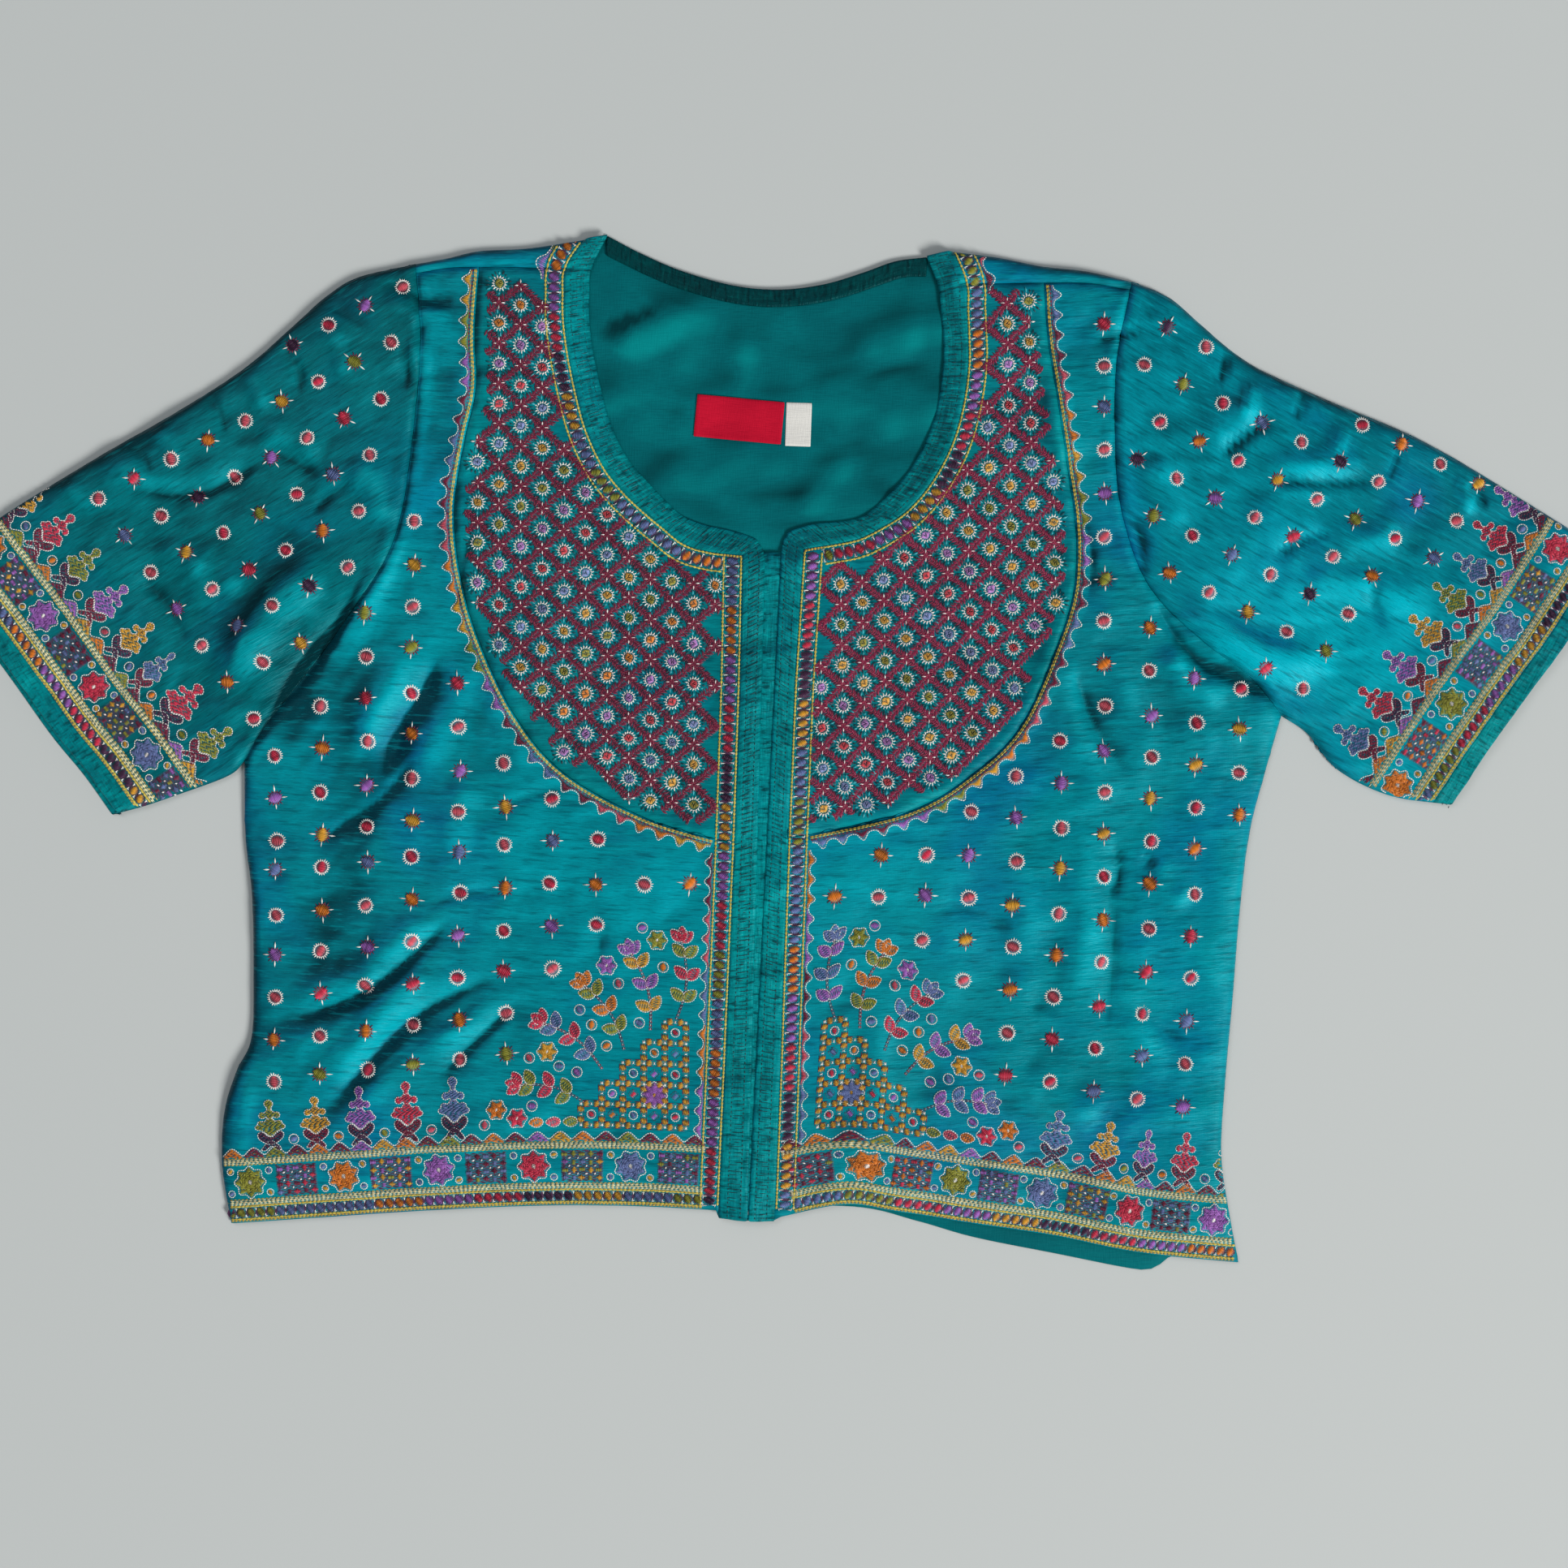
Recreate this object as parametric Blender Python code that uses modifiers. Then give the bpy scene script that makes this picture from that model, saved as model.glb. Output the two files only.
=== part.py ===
"""Choli blouse with short sleeves, laid flat on a table with its front up.

X runs across the chest (+X is the wearer's left), Y runs from the hem up to
the neck, Z is up from the table. The back panel and the under layers of the
sleeves lie flat on z = 0; the fronts, yokes, plackets and the upper layers
of the sleeves lie on them. Table values and constants are in millimetres.

Every panel is a smooth patch between its four cut edges, lifted to the
height of the cloth at each point and given the cloth's thickness.
"""
import math

import bmesh
import bpy
import numpy as np

for _ob in list(bpy.data.objects):
    bpy.data.objects.remove(_ob, do_unlink=True)

MM = 0.001

# ---------------------------------------------------------------- sizes (mm)
WALL = 1.2            # silk, cotton lining and the stitching between them
BAND = 1.8            # folded bias bindings, placket and cuff bands
TAPE = 1.0            # underlap strip, back neck facing
LABEL_T = 0.6         # woven label
SEAM = 0.3            # clear gap between two pieces along a seam
LIFT = 0.4            # least gap between the back and what lies on it
BASE_RISE = 1.4       # usual extra lift of the upper layer, from its own spring
MAX_RISE = 3.2        # crest of the highest fold in the upper layer
EDGE_TAPER = 26.0     # width over which the upper layer comes down to an edge
BINDING_W = 10.0      # finished width of the neck binding
FACING_W = 8.5        # finished width of the back neck facing
CUFF_BAND_W = 14.0    # plain band at the end of each sleeve
CUFF_PEEK = 5.0       # how far the under layer of a cuff shows past the upper
FOLD_IN = 1.6         # how far in from an outline the cloth starts to turn

ROWS_ARM, ROWS_SIDE = 10, 10       # rows of the front down armhole and side
ROWS_YOKE, ROWS_PLACKET = 13, 6    # rows down the yoke seam, then the placket
ROWS_NECK = 9                      # rows down the neck binding
COLS_FRONT, COLS_YOKE = 9, 8
COLS_SHOULDER, COLS_NECK = 5, 11
ROWS_SLEEVE = 11


def columns(text):
    """A small table: a header line, then one named row to a line."""
    lines = [ln.split() for ln in text.strip().splitlines() if ln.strip()]
    head, rows = lines[0][1:], lines[1:]
    return [dict(zip(head, (float(v) for v in r[1:])), row=r[0]) for r in rows]


def xy(rows, x="x", y="y"):
    return [(r[x], r[y]) for r in rows]


# ------------------------------------------------------- cut edges, half each
# Front neck edge, neck point to centre front. xr, yr: wearer's right half;
# xl, yl: wearer's left half. The blouse was laid by hand, so they differ.
NECK = columns("""
row            xr      yr      xl      yl
neck_point   -83.6   261.4    77.9   250.7
shoulder     -91.8   244.6    83.6   236.0
upper        -93.1   224.5    86.5   208.1
chest_1      -91.0   204.0    85.3   187.6
chest_2      -86.9   183.5    81.2   167.1
curve_1      -80.8   163.0    73.0   148.6
curve_2      -70.5   144.5    60.7   132.2
curve_3      -56.2   130.2    44.3   119.9
low_1        -41.8   119.9    27.9   114.6
low_2        -25.4   113.8    16.0   112.6
centre        -7.0   106.4     6.0   106.4
""")

# Seam between the embroidered yoke and the front, shoulder to placket.
YOKE = columns("""
row            xr      yr      xl      yl
shoulder    -148.4   245.4   136.9   237.2
upper_1     -150.6   211.8   138.6   211.8
upper_2     -149.8   183.5   142.7   183.5
chest       -155.4   157.0   147.6   151.1
widest      -161.1   124.4   153.3   113.0
lower_1     -157.9    90.0   151.7    80.2
lower_2     -148.0    55.6   141.0    47.4
lower_3     -128.7    16.6   124.6    12.5
lower_4     -104.6   -10.9   101.7   -10.2
lower_5      -65.2   -32.6    68.9   -29.7
placket      -24.4   -45.0    12.2   -42.8
""")

# Armhole seam, from the shoulder seam to the underarm.
ARMHOLE = columns("""
row            xr      yr      xl      yl
shoulder    -180.0   242.1   180.4   233.9
upper       -177.5   203.6   173.4   195.8
middle      -182.5   154.4   173.0   150.7
lower_1     -187.4   121.2   176.7   119.5
lower_2     -197.2    93.3   190.0    84.0
valley_1    -226.3    52.3   216.5    56.4
valley_2    -255.0    15.4   241.1    38.0
underarm    -267.3    -4.3   257.5    18.7
""")

# Side of the body, underarm to hem.
SIDE = columns("""
row            xr      yr      xl      yl
underarm    -267.3    -4.3   257.5    18.7
rib_1       -267.0   -42.0   248.9   -11.3
rib_2       -263.6   -72.8   241.1   -42.0
waist_1     -262.8  -113.8   236.2   -83.0
waist_2     -264.0  -144.5   232.9  -124.0
hip_1       -271.4  -160.9   229.2  -165.0
hip_2       -277.6  -181.4   227.1  -201.9
hip_3       -278.8  -208.0   230.4  -228.5
hem         -274.3  -238.0   235.8  -257.7
""")

# Front hem, side seam to placket.
HEM = columns("""
row            xr      yr      xl      yl
side        -274.3  -238.0   235.8  -257.7
hem_1       -226.3  -234.7   183.7  -252.4
hem_2       -185.3  -231.9   142.7  -244.2
hem_3       -144.3  -229.8   101.7  -238.0
hem_4       -103.3  -228.6    60.7  -231.4
hem_5        -62.3  -229.4    36.1  -228.2
placket      -26.2  -231.4     1.8  -235.0
""")

# Shoulder: the back cloth folds over at the outline (xf, yf) and comes down
# the front to the shoulder seam (xs, ys). First the right, then the left.
SHOULDER_R = columns("""
row            xf      yf      xs      ys
armhole     -180.4   247.4  -180.0   242.1
sleeve_1    -164.8   250.3  -164.8   244.9
yoke        -148.4   254.0  -148.4   245.4
neck_1      -123.8   255.4  -123.8   245.2
binding      -95.1   259.7  -102.1   244.6
""")
SHOULDER_L = columns("""
row            xf      yf      xs      ys
armhole      181.6   238.4   180.4   233.9
sleeve_1     159.1   243.7   159.1   237.0
yoke         136.9   246.2   136.9   237.2
neck_1       114.0   250.7   114.0   236.8
binding       91.0   253.6    95.0   236.0
""")

# Back neck edge and back hem, from the wearer's right to the left.
BACK_NECK = columns("""
row             x       y
neck_point_r -83.6   261.4
r_2          -66.4   252.4
r_3          -46.0   243.7
r_4          -20.0   236.4
centre         3.3   234.3
l_4           26.0   237.0
l_3           46.0   243.0
l_2           62.0   248.6
neck_point_l  77.9   250.7
""")
BACK_HEM = columns("""
row             x       y
side_r      -274.3  -236.8
r_1         -185.3  -230.6
r_2         -103.3  -227.2
centre       -22.0  -230.0
l_1           40.2  -229.5
l_2           73.0  -236.8
l_3          101.7  -245.0
l_4          142.7  -253.2
l_5          183.7  -261.2
vent         194.0  -260.0
l_6          206.0  -253.5
side_l       235.8  -256.6
""")

# Sleeves: outline along the top, along the underside, and down the cuff.
SLEEVE_TOP = columns("""
row            xr      yr      xl      yl
shoulder    -180.4   247.4   181.6   238.4
cap_1       -209.9   240.5   200.1   230.6
cap_2       -226.3   230.6   216.5   216.7
cap_3       -242.7   215.9   232.9   202.7
arm_1       -267.0   194.8   249.3   192.5
arm_2       -300.0   173.4   282.1   177.7
arm_3       -341.1   149.8   330.0   157.2
arm_4       -390.3   119.5   380.5   127.3
cuff        -428.0    93.3   428.0    97.4
""")
SLEEVE_UNDER = columns("""
row            xr      yr      xl      yl
underarm    -267.3    -4.3   257.5    18.7
arm_1       -276.0   -11.9   271.2     9.2
arm_2       -301.8   -21.5   286.0    -8.6
arm_3       -318.0   -27.0   312.0   -21.6
cuff        -334.2   -31.4   343.6   -26.4
""")
CUFF = columns("""
row            xr      yr      xl      yl
top         -428.0    93.3   428.0    97.4
c_1         -390.3    44.1   401.8    56.4
c_2         -365.3     9.2   374.7    19.5
c_3         -348.5   -11.3   360.4    -1.0
under       -334.2   -31.4   343.6   -26.4
""")

# Placket: x of the four long edges at the top and the bottom of the bands.
# ro/ri: outer and inner edge on the right, li/lo: the same on the left.
PLACKET = columns("""
row        y_ro    y_ri    y_li    y_lo     ro      ri      li      lo
top        97.4   104.8   104.6    98.2   -18.0    -5.7     5.0    15.6
bottom   -234.7  -236.2  -236.2  -236.4   -26.4   -13.0   -12.2     1.4
""")
UNDERLAP = columns("""
row            y    right    left
top        101.0    -8.2     8.2
bottom    -231.0   -15.6    -8.0
""")
LABEL = {"x": -17.0, "y": 168.6, "length": 44.0, "width": 21.0, "tilt_deg": -1.5}
TAB = {"x": 12.6, "y": 167.6, "length": 12.6, "width": 21.6, "tilt_deg": 3.0}

# The largest folds of the upper layer: a line from (x0, y0) to (x1, y1), the
# half width of its slope, and how far it rises (+) or sinks (-).
FOLDS = columns("""
row                 x0      y0      x1      y1   half    rise
underarm_dip_r    -192     105    -257      14     13    -1.7
underarm_roll_r   -212     122    -276      24     17     1.4
side_roll_r       -174      82    -240      -8     18     1.3
underarm_dip_l     186      96     250      27     13    -1.7
underarm_roll_l    208      98     276      34     17     1.4
side_roll_l        176      70     236       6     18     1.3
cap_roll_r        -258     190    -200     122     20     1.3
arm_dip_r         -322     150    -214      98     12    -1.2
arm_roll_r        -352     112    -290      52     22     1.1
cap_roll_l         226     192     286     128     20     1.3
arm_dip_l          214     142     322     108     12    -1.2
arm_roll_l         296      98     366      72     22     1.1
shoulder_dip_r    -197     237    -156     226      9    -1.2
shoulder_roll_r   -190     216    -158     206     12     1.0
shoulder_dip_l     150     214     198     222      9    -1.0
waist_dip_1       -258    -140    -158     -84      9    -1.3
waist_roll        -252    -160    -140    -102     14     1.4
waist_dip_2       -230    -184    -130    -112      9    -1.3
front_roll_l       158      10     144    -176     22     0.9
front_roll_r      -196     -10    -182    -120     20     0.7
hem_wave_l          36    -186      40    -236     24     1.0
""")


# ------------------------------------------------------------------- curves
def smooth(points, n):
    """n + 1 evenly spaced points on the smooth curve through the points."""
    p = np.array(points, float)
    e = np.vstack([2 * p[0] - p[1], p, 2 * p[-1] - p[-2]])
    dense = []
    for i in range(1, len(e) - 2):
        a, b, c, d = e[i - 1], e[i], e[i + 1], e[i + 2]
        for t in np.linspace(0, 1, 14, endpoint=False):
            dense.append(0.5 * (2 * b + (c - a) * t + (2 * a - 5 * b + 4 * c - d) * t ** 2
                                + (3 * b - a - 3 * c + d) * t ** 3))
    dense.append(p[-1])
    dense = np.array(dense)
    s = np.r_[0, np.cumsum(np.linalg.norm(np.diff(dense, axis=0), axis=1))]
    at = np.linspace(0, s[-1], n + 1)
    return np.stack([np.interp(at, s, dense[:, k]) for k in range(2)], axis=1)


def straight(a, b, n):
    return np.linspace(np.array(a, float), np.array(b, float), n + 1)


def offset_side(line, width, turn):
    """The line moved sideways by width; turn = +1 is to its left."""
    t = np.gradient(line, axis=0)
    t /= np.linalg.norm(t, axis=1)[:, None]
    return line + turn * width * np.stack([-t[:, 1], t[:, 0]], axis=1)


def coons(left, right, top, bottom, fade=3):
    """Patch ruled from the left edge to the right edge, both running down; the
    shape of the top and bottom edges fades out into it."""
    nv, nu = len(left) - 1, len(top) - 1
    u = np.linspace(0, 1, nu + 1)[:, None]
    v = np.linspace(0, 1, nv + 1)[:, None, None]
    ruled = (1 - u)[None] * left[:, None, :] + u[None] * right[:, None, :]
    top_bow = top - ((1 - u) * left[0] + u * right[0])
    low_bow = bottom - ((1 - u) * left[-1] + u * right[-1])
    return ruled + (1 - v) ** fade * top_bow[None] + v ** fade * low_bow[None]


def seam_in(grid, amount, edges="LRTB"):
    """The patch drawn in from its edges, to leave the gap at each seam."""
    g = grid.copy()

    def move(edge, nxt, along):
        inward = nxt - edge
        t = np.gradient(along, axis=0)
        t /= np.maximum(np.linalg.norm(t, axis=1)[:, None], 1e-9)
        normal = np.stack([-t[:, 1], t[:, 0]], axis=1)
        return normal * np.sign(np.sum(normal * inward)) * amount

    if "L" in edges:
        g[:, 0] += move(grid[:, 0], grid[:, 1], grid[:, 0])
    if "R" in edges:
        g[:, -1] += move(grid[:, -1], grid[:, -2], grid[:, -1])
    if "T" in edges:
        g[0] += move(grid[0], grid[1], grid[0])
    if "B" in edges:
        g[-1] += move(grid[-1], grid[-2], grid[-1])
    return g


# ------------------------------------------------- height of the upper layer
def dist_to(points, line):
    a, b = line[:-1], line[1:]
    d = b - a
    w = points[:, None, :] - a[None]
    t = np.clip(np.sum(w * d, axis=2) / np.sum(d * d, axis=1), 0, 1)
    near = a[None] + t[..., None] * d[None]
    return np.linalg.norm(points[:, None, :] - near, axis=2).min(axis=1)


def ease(t):
    t = np.clip(t, 0, 1)
    return t * t * (3 - 2 * t)


def side_points(table, side):
    return xy(table, "x" + side, "y" + side)


SHOULDER = {"r": SHOULDER_R, "l": SHOULDER_L}
OUTLINES = []
for _s in "rl":
    OUTLINES.append(smooth(xy(SHOULDER[_s], "xf", "yf"), 10))
    OUTLINES.append(smooth(side_points(SLEEVE_TOP, _s), 20))
    OUTLINES.append(smooth(side_points(SLEEVE_UNDER, _s), 10))
    OUTLINES.append(smooth(side_points(SIDE, _s), 16))


def rise(points):
    """Extra height of the upper layer over the least gap, at each point."""
    p = np.asarray(points, float).reshape(-1, 2)
    h = np.full(len(p), BASE_RISE)
    for f in FOLDS:
        a, b = np.array([f["x0"], f["y0"]]), np.array([f["x1"], f["y1"]])
        d = b - a
        t = np.clip(((p - a) @ d) / (d @ d), -0.3, 1.3)
        off = np.linalg.norm(p - (a + t[:, None] * d), axis=1)
        ends = ease((t + 0.3) / 0.5) * ease((1.3 - t) / 0.5)
        h += f["rise"] * ends * ease(1 - off / (1.6 * f["half"]))
    h = np.clip(h, 0.0, MAX_RISE)
    edge = np.min([dist_to(p, ln) for ln in OUTLINES], axis=0)
    return h * ease(edge / EDGE_TAPER)


def upper(grid, wall):
    """Mid-surface of a piece of the upper layer over the plan grid."""
    z = WALL + LIFT + wall / 2 + rise(grid).reshape(grid.shape[:-1])
    return np.dstack([grid, z])


# --------------------------------------------------------- objects and walls
parts = bpy.data.collections.new("choli_blouse")
bpy.context.scene.collection.children.link(parts)


def material(name, colour, roughness, sheen=0.0):
    m = bpy.data.materials.new(name)
    m.use_nodes = True
    b = m.node_tree.nodes["Principled BSDF"]
    b.inputs["Base Color"].default_value = (*colour, 1.0)
    b.inputs["Roughness"].default_value = roughness
    b.inputs["Metallic"].default_value = 0.0
    b.inputs["Sheen Weight"].default_value = sheen
    m.diffuse_color = (*colour, 1.0)
    return m


SILK = {
    "front_r": (0.0, 0.215, 0.235), "front_l": (0.0, 0.235, 0.255),
    "yoke_r": (0.10, 0.075, 0.105), "yoke_l": (0.11, 0.08, 0.11),
    "sleeve_r": (0.0, 0.185, 0.215), "sleeve_l": (0.0, 0.225, 0.250),
    "back_panel": (0.0, 0.135, 0.140), "back_neck_facing": (0.0, 0.075, 0.070),
    "neck_binding_r": (0.0, 0.200, 0.200), "neck_binding_l": (0.0, 0.205, 0.205),
    "placket_r": (0.0, 0.220, 0.240), "placket_l": (0.0, 0.210, 0.230),
    "placket_underlap": (0.0, 0.150, 0.165),
    "cuff_band_r": (0.0, 0.110, 0.105), "cuff_band_l": (0.0, 0.150, 0.145),
    "label": (0.610, 0.010, 0.038), "label_tab": (0.80, 0.79, 0.76),
}


def finish(name, bm, wall=0.0, roughness=0.45):
    """The piece's object; an open surface gets its thickness about its middle."""
    bmesh.ops.recalc_face_normals(bm, faces=bm.faces[:])
    mesh = bpy.data.meshes.new(name)
    bm.to_mesh(mesh)
    bm.free()
    ob = bpy.data.objects.new(name, mesh)
    parts.objects.link(ob)
    mesh.materials.append(material(name + "_cloth", SILK[name], roughness, 0.3))
    mesh.shade_smooth()
    if wall:
        sol = ob.modifiers.new("cloth thickness", "SOLIDIFY")
        sol.thickness = wall * MM
        sol.offset = 0.0
    else:
        mesh.set_sharp_from_angle(angle=math.radians(40))
    return ob


def sheet_faces(bm, pts, ring=False):
    """Vertices of a grid of points and the quads between them."""
    vs = [[bm.verts.new(tuple(c * MM for c in p)) for p in row] for row in pts]
    n = len(vs[0])
    for a, b in zip(vs[:-1], vs[1:]):
        for j in range(n if ring else n - 1):
            k = (j + 1) % n
            bm.faces.new((a[j], a[k], b[k], b[j]))
    return vs


def slab(name, pts, wall):
    """A piece lying face up: its under face raised by the cloth's thickness."""
    bm = bmesh.new()
    sheet_faces(bm, np.asarray(pts) - np.array([0, 0, wall / 2]))
    top = bmesh.ops.extrude_face_region(bm, geom=bm.faces[:])["geom"]
    bmesh.ops.translate(bm, vec=(0, 0, wall * MM),
                        verts=[v for v in top if isinstance(v, bmesh.types.BMVert)])
    return finish(name, bm)


def panel(name, grid, wall, edges="LRTB"):
    return slab(name, upper(seam_in(grid, SEAM / 2, edges), wall), wall)


# --------------------------------------------------------- shared edge points
edge = {}
for s in "rl":
    fold_tip = np.array([xy(SHOULDER[s], "xf", "yf")[0]])
    edge[s, "armhole"] = smooth(side_points(ARMHOLE, s), ROWS_ARM)
    edge[s, "armhole_all"] = np.vstack([fold_tip, edge[s, "armhole"]])
    edge[s, "side"] = smooth(side_points(SIDE, s), ROWS_SIDE)
    edge[s, "yoke"] = smooth(side_points(YOKE, s), ROWS_YOKE)
    neck = side_points(NECK, s)
    inner = np.vstack([[neck[0]], smooth(neck[1:], ROWS_NECK)])
    top, bot = PLACKET
    turn = -1 if s == "r" else 1
    outer = offset_side(inner, BINDING_W, turn)
    outer[0] = xy(SHOULDER[s], "xf", "yf")[-1]
    outer[1] = xy(SHOULDER[s], "xs", "ys")[-1]
    outer[-1] = (top[s + "o"], top["y_" + s + "o"])
    edge[s, "neck_in"], edge[s, "neck_out"] = inner, outer
    # long edges of the placket band, with a station at the end of the yoke
    o_top = np.array([top[s + "o"], top["y_" + s + "o"]])
    o_bot = np.array([bot[s + "o"], bot["y_" + s + "o"]])
    i_top = np.array([top[s + "i"], top["y_" + s + "i"]])
    i_bot = np.array([bot[s + "i"], bot["y_" + s + "i"]])
    y_end = edge[s, "yoke"][-1][1]
    f_yoke = (o_top[1] - (y_end + 1.2)) / (o_top[1] - o_bot[1])
    f_front = (o_top[1] - (y_end - 1.2)) / (o_top[1] - o_bot[1])
    n_up = ROWS_YOKE - ROWS_NECK
    f = np.r_[np.linspace(0, f_yoke, n_up + 1), np.linspace(f_front, 1, ROWS_PLACKET + 1)]
    edge[s, "placket_out"] = o_top + f[:, None] * (o_bot - o_top)
    edge[s, "placket_in"] = i_top + f[:, None] * (i_bot - i_top)
    edge[s, "n_up"] = n_up

# ---------------------------------------------------- fronts, yokes, bindings
for s in "rl":
    n_up = edge[s, "n_up"]
    left = np.vstack([edge[s, "armhole"], edge[s, "side"][1:]])
    right = np.vstack([edge[s, "yoke"], edge[s, "placket_out"][n_up + 1:]])
    seam = xy(SHOULDER[s], "xs", "ys")
    hem = smooth(side_points(HEM, s), COLS_FRONT)
    hem[-1] = right[-1]
    front = coons(left, right, smooth(seam[:3], COLS_FRONT), hem)
    panel("front_" + s, front, WALL)

    inner = np.vstack([edge[s, "neck_out"][1:], edge[s, "placket_out"][1:n_up + 1]])
    yoke = coons(edge[s, "yoke"], inner, smooth(seam[2:], COLS_YOKE),
                 straight(edge[s, "yoke"][-1], inner[-1], COLS_YOKE))
    panel("yoke_" + s, yoke, WALL)

    out_e, in_e = edge[s, "neck_out"], edge[s, "neck_in"]
    bind = np.stack([out_e, (out_e + in_e) / 2, in_e], axis=1)
    panel("neck_binding_" + s, bind, BAND)

    out_e, in_e = edge[s, "placket_out"], edge[s, "placket_in"]
    band = np.stack([out_e, (out_e + in_e) / 2, in_e], axis=1)
    panel("placket_" + s, band, BAND)

# ----------------------------------------------- underlap, on the back panel
ul_top, ul_bot = UNDERLAP
under = np.array([[(a, y), ((a + b) / 2, y), (b, y)]
                  for a, b, y in zip(np.linspace(ul_top["right"], ul_bot["right"], 9),
                                     np.linspace(ul_top["left"], ul_bot["left"], 9),
                                     np.linspace(ul_top["y"], ul_bot["y"], 9))])
slab("placket_underlap",
     np.dstack([under, np.full(under.shape[:2], WALL + SEAM + TAPE / 2)]), TAPE)

# --------------------------------------------------------------- back panel
# One cloth: flat on the table from hem to neck, folded at each shoulder and
# brought forward to the shoulder seam.
fold_r = smooth(xy(SHOULDER_R, "xf", "yf"), COLS_SHOULDER)
fold_l = smooth(xy(SHOULDER_L, "xf", "yf"), COLS_SHOULDER)[::-1]
neck_line = smooth(xy(BACK_NECK), COLS_NECK)
back_top = np.vstack([fold_r, neck_line, fold_l])
n_cols = len(back_top) - 1
left = np.vstack([edge["r", "armhole_all"], edge["r", "side"][1:]])
right = np.vstack([edge["l", "armhole_all"], edge["l", "side"][1:]])
hem = smooth(xy(BACK_HEM), n_cols)
hem[0], hem[-1] = xy(BACK_HEM)[0], xy(BACK_HEM)[-1]
left[-1], right[-1] = hem[0], hem[-1]
back = seam_in(coons(left, right, back_top, hem), SEAM / 2, "LR")
# At the shoulders the flat layer stops a little short of the folded outline.
n_sh = COLS_SHOULDER + 1
down = np.array([0.0, -1.0])
for j in list(range(n_sh)) + list(range(n_cols + 1 - n_sh, n_cols + 1)):
    back[0, j] = back_top[j] + FOLD_IN * down
back[0, 0] += (SEAM / 2, 0)
back[0, -1] -= (SEAM / 2, 0)
bm = bmesh.new()
flat = np.dstack([back, np.full(back.shape[:2], WALL / 2)])
vs = sheet_faces(bm, flat)
for s, cols in (("r", range(n_sh)), ("l", range(n_cols + 1 - n_sh, n_cols + 1))):
    seam = smooth(xy(SHOULDER[s], "xs", "ys"), COLS_SHOULDER)
    if s == "l":
        seam = seam[::-1]
    seam = seam + np.array([0.0, SEAM])
    seam[0] += (SEAM / 2, 0)
    seam[-1] -= (SEAM / 2, 0)
    brow = flat[0][list(cols)].copy()
    turn_row, over_row = brow.copy(), brow.copy()
    over_row[:, 2] = upper(brow[None, :, :2], WALL)[0][:, 2]
    turn_row[:, 1] += FOLD_IN - WALL / 2
    turn_row[:, 2] = (brow[:, 2] + over_row[:, 2]) / 2
    # the end next to the neck binding follows the binding's edge, just clear
    jb = -1 if s == "r" else 0
    clear = -2 * SEAM if s == "r" else 2 * SEAM
    a, b = edge[s, "neck_out"][0], edge[s, "neck_out"][1]
    for row in (turn_row, over_row):
        row[jb, 0] = a[0] + (b[0] - a[0]) * (a[1] - row[jb, 1]) / (a[1] - b[1]) + clear
    seam[jb, 0] = b[0] + clear
    half = (over_row[:, :2] + seam) / 2
    rows3 = [turn_row, over_row, upper(half[None], WALL)[0], upper(seam[None], WALL)[0]]
    prev = [vs[0][j] for j in cols]
    for row in rows3:
        cur = [bm.verts.new(tuple(c * MM for c in p)) for p in row]
        for j in range(len(cur) - 1):
            bm.faces.new((prev[j], prev[j + 1], cur[j + 1], cur[j]))
        prev = cur
finish("back_panel", bm, WALL)

# -------------------------------------------------------- back neck facing
upper_edge = smooth(xy(BACK_NECK), COLS_NECK)
lower_edge = offset_side(upper_edge, FACING_W, -1)
lower_edge[0] = upper_edge[0] + np.array([-0.6, -9.6])
lower_edge[-1] = upper_edge[-1] + np.array([-0.4, -9.4])
upper_edge[0] += (1.2, -1.4)
upper_edge[-1] += (-1.2, -0.6)
facing = np.stack([upper_edge, (upper_edge + lower_edge) / 2, lower_edge], axis=1)
slab("back_neck_facing",
     np.dstack([facing, np.full(facing.shape[:2], WALL + SEAM + TAPE / 2)]), TAPE)


# ------------------------------------------------------------------ sleeves
def along(line, f):
    s = np.r_[0, np.cumsum(np.linalg.norm(np.diff(line, axis=0), axis=1))]
    s /= s[-1]
    return np.array([np.interp(f, s, line[:, k]) for k in range(2)])


def sleeve_row(side, f):
    """Plan points across the sleeve, top outline to underside, at fraction f."""
    arm = edge[side, "armhole_all"]
    cuff = smooth(side_points(CUFF, side), len(arm) - 1)
    top_line = smooth(side_points(SLEEVE_TOP, side), 60)
    low_line = smooth(side_points(SLEEVE_UNDER, side), 60)
    w = np.linspace(0, 1, len(arm))[:, None]
    top_bow = along(top_line, f) - ((1 - f) * arm[0] + f * cuff[0])
    low_bow = along(low_line, f) - ((1 - f) * arm[-1] + f * cuff[-1])
    return (1 - f) * arm + f * cuff + (1 - w) ** 2 * top_bow + w ** 2 * low_bow


def tube_ring(row, under_row, wall):
    """Ring of mid-surface points round a flattened sleeve: over, turn, under, turn."""
    def unit(v):
        return v / np.linalg.norm(v)

    over, under = row.copy(), under_row.copy()
    for lay in (over, under):
        lay[0] = lay[0] + FOLD_IN * unit(lay[1] - lay[0])
        lay[-1] = lay[-1] + FOLD_IN * unit(lay[-2] - lay[-1])
    over3 = upper(over[None], wall)[0]
    under3 = np.column_stack([under, np.full(len(under), wall / 2)])
    rim = []
    for k, n in ((-1, -2), (0, 1)):
        mid = (row[k] + under_row[k]) / 2
        p = mid + wall / 2 * unit((row[n] + under_row[n]) / 2 - mid)
        rim.append([p[0], p[1], (over3[k][2] + under3[k][2]) / 2])
    return np.vstack([over3, [rim[0]], under3[::-1], [rim[1]]])


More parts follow.
